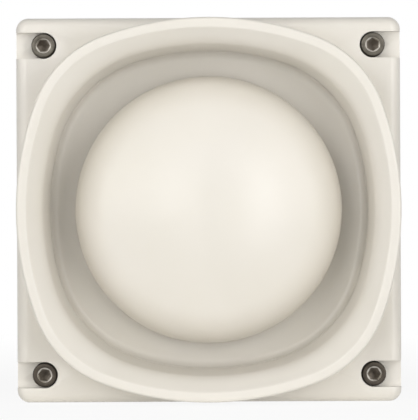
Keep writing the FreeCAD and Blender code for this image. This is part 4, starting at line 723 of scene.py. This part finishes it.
def knurled_ring(radius, steps):
    """A circle with a tooth at every fourth step."""
    points = []
    for k in range(steps):
        turn = 2 * math.pi * k / steps
        reach = radius - KNURL_DEPTH * (0.0, 0.5, 1.0, 0.5)[k % 4]
        points.append((reach * math.cos(turn), reach * math.sin(turn)))
    return points


def screw_rings():
    """From the tip up the shank, over the knurled head and down into the hexagon socket."""
    steps = KNURL_TEETH * 4
    top, head, edge = FLANGE_FACE, SCREW_HEAD_RADIUS, SCREW_HEAD_RADIUS - KNURL_DEPTH
    shank = [(POINT, SCREW_TIP), (SCREW_RADIUS - SCREW_TIP_CHAMFER, SCREW_TIP),
             (SCREW_RADIUS, SCREW_TIP + SCREW_TIP_CHAMFER), (SCREW_RADIUS, SCREW_SEAT),
             (head - HEAD_FOOT_CHAMFER, SCREW_SEAT)]
    knurl = [(knurled_ring(head, steps), SCREW_SEAT + KNURL_MARGIN),
             (knurled_ring(head, steps), top - HEAD_CHAMFER - KNURL_MARGIN)]
    face = [(edge, top - HEAD_CHAMFER)]
    for turn in spaced(0, math.pi / 2, HEAD_CHAMFER_COUNT)[1:]:
        face.append((edge - HEAD_CHAMFER * (1 - math.cos(turn)),
                     top - HEAD_CHAMFER + HEAD_CHAMFER * math.sin(turn)))
    face += [(SOCKET_RING + SOCKET_RING_EDGE, top), (SOCKET_RING, top - SOCKET_RING_DROP)]
    hexagon, rims = [], []
    for k in range(steps):
        turn = 2 * math.pi * k / steps
        reach = hexagon_reach(turn)
        hexagon.append((reach * math.cos(turn), reach * math.sin(turn)))
        rims.append(top - SOCKET_RING_DROP - (SOCKET_RING - reach) * SOCKET_LEAD_IN)
    floor = top - SOCKET_DEPTH
    drill = [(SOCKET_DRILL, floor), (POINT, floor - SOCKET_DRILL_POINT)]
    return (turned_rings(shank, steps) + knurl + turned_rings(face, steps)
            + [(hexagon, rims), (hexagon, floor)] + turned_rings(drill, steps))


def turned_and_moved(ring, turn, across, up):
    """An outline turned about its middle and put in another place."""
    cosine, sine = math.cos(turn), math.sin(turn)
    return moved([(x * cosine - y * sine, x * sine + y * cosine) for x, y in ring], across, up)


def dress_socket(screw, turn, across, up):
    """Put the second material, a painted highlight, on the ring round the socket, and the third,
    painted lighter as painted light, inside it.
    """
    deepest = FLANGE_FACE - SOCKET_DEPTH - SOCKET_FLAT
    for face in screw.data.polygons:
        x, y = face.center.x - across, face.center.z - up
        reach = math.hypot(x, y)
        if -face.center.y > deepest and reach < SOCKET_RING:
            wall = hexagon_reach(math.atan2(y, x) - turn) + SOCKET_WALL_MARGIN
            face.material_index = 2 if reach < wall else 1


def build_screws():
    # The heads' steel tints are painted dark, a painted dark reflection, and those of the lower
    # screws are darker still, as painted shade.
    painted_steels = {
        1: make_turned_steel("stainless_upper_painted_reflection", "5E5A52", "48443E", 0.34),
        -1: make_turned_steel("stainless_lower_painted_shade", "4C463F", "3B3630", 0.34),
    }
    # The ring round each socket is painted bright as a painted highlight, and the inside of the
    # socket is painted a lighter grey than the head, as painted light in the recess.
    ring_highlight = make_turned_steel("socket_ring_painted_highlight", "BAB5AC", "96918A", 0.3)
    lit_inside = make_turned_steel("broached_socket_painted_light", "7C746A", "5E574E", 0.45)
    base = screw_rings()
    for (side_x, side_y), degrees in SCREW_TURNS.items():
        place = (math.radians(degrees), side_x * SCREW_AT, side_y * SCREW_AT)
        rings = [(turned_and_moved(ring, *place), depth) for ring, depth in base]
        name = f"{'upper' if side_y > 0 else 'lower'}_{'right' if side_x > 0 else 'left'}_screw"
        screw = new_piece(name, skin(name, rings))
        smooth(screw, STEEL_CREASE)
        for steel in (painted_steels[side_y], ring_highlight, lit_inside):
            screw.data.materials.append(steel)
        dress_socket(screw, *place)
        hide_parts("cover_screws")


# Studio
def seen_directly(tree):
    """1 for rays from the camera or sent on by metal or glass, and 0 for other light."""
    rays = add(tree, "LightPath").outputs
    mirrored = add(tree, "Math", {"operation": "MAXIMUM"},
                   _0=rays["Is Glossy Ray"], _1=rays["Is Transmission Ray"])
    return add(tree, "Math", {"operation": "MAXIMUM"},
               _0=rays["Is Camera Ray"], _1=mirrored.outputs["Value"]).outputs["Value"]


def build_table():
    """A white light table, which keeps the shadow near the housing and fades to plain white.

    The lower parts of the lamps shine through it.
    """
    bpy.ops.mesh.primitive_plane_add(size=TABLE_SIZE, location=(0, 0, cad_box[0][2] - TABLE_GAP))
    table = bpy.context.object
    table.name = "studio_floor"
    material, tree = new_material("opal_acrylic")
    sheet = add(tree, "BsdfPrincipled", Base_Color=hex_colour("F4F4F3"), Roughness=0.8)
    glow = add(tree, "Emission", Color=(1.0, 1.0, 1.0, 1.0), Strength=1.0)
    place = add(tree, "TexCoord").outputs["Object"]
    away = add(tree, "VectorMath", {"operation": "LENGTH"}, _0=place)
    whiteness = add(tree, "MapRange", Value=away.outputs["Value"], From_Min=GLOW_STARTS,
                    From_Max=GLOW_FULL, To_Min=GLOW_NEAR, To_Max=1.0)
    share = add(tree, "Math", {"operation": "MULTIPLY"},
                _0=seen_directly(tree), _1=whiteness.outputs["Result"])
    mix = add(tree, "MixShader", Fac=share.outputs["Value"],
              _1=sheet.outputs["BSDF"], _2=glow.outputs["Emission"])
    add(tree, "OutputMaterial", Surface=mix.outputs["Shader"])
    table.data.materials.append(material)
    table.visible_shadow = False


def build_world():
    """White to the camera and in reflections; a soft grey light on the object."""
    world = bpy.data.worlds.new("studio")
    bpy.context.scene.world = world
    world.use_nodes = True
    tree = world.node_tree
    tree.nodes.clear()
    soft = add(tree, "Background", Color=(1.0, 1.0, 1.0, 1.0), Strength=WORLD_LEVEL)
    white = add(tree, "Background", Color=(1.0, 1.0, 1.0, 1.0), Strength=1.0)
    mix = add(tree, "MixShader", Fac=seen_directly(tree),
              _1=soft.outputs["Background"], _2=white.outputs["Background"])
    add(tree, "OutputWorld", Surface=mix.outputs["Shader"])


def build_lights():
    """Rectangular lamps aimed at the middle of the cover."""
    for name, (azimuth, elevation, distance, width, height, watts) in SOFTBOXES.items():
        around, up = math.radians(azimuth), math.radians(elevation)
        direction = Vector((math.sin(around) * math.cos(up), -math.cos(around) * math.cos(up),
                            math.sin(up)))
        lamp = bpy.data.lights.new(name, "AREA")
        lamp.shape = "RECTANGLE"
        lamp.size, lamp.size_y = width, height
        lamp.energy = watts
        holder = new_object(name, lamp)
        holder.location = stand(0, 0, FLANGE_FACE) + direction * distance
        holder.rotation_euler = (-direction).to_track_quat("-Z", "Y").to_euler()


def build_camera():
    camera = bpy.data.cameras.new("camera")
    camera.sensor_fit = "VERTICAL"
    camera.sensor_height = SENSOR
    camera.lens = SENSOR * CAMERA_DISTANCE / FRAME_HEIGHT_AT_COVER
    holder = new_object("camera", camera)
    holder.location = stand(CAMERA_SHIFT_X, CAMERA_SHIFT_Z, FLANGE_FACE + CAMERA_DISTANCE)
    level = Matrix.Rotation(math.pi / 2, 3, "X")
    holder.rotation_euler = (level @ Matrix.Rotation(CAMERA_ROLL, 3, "Z")).to_euler()
    bpy.context.scene.camera = holder


# The scene
bpy.context.scene.view_settings.view_transform = "Standard"
build_camera()
build_world()
build_lights()
build_table()
housing_abs = make_moulded_abs()
finish_solids(housing_abs)
build_horn(housing_abs)
build_flange(housing_abs)
build_dome(housing_abs)
build_screws()
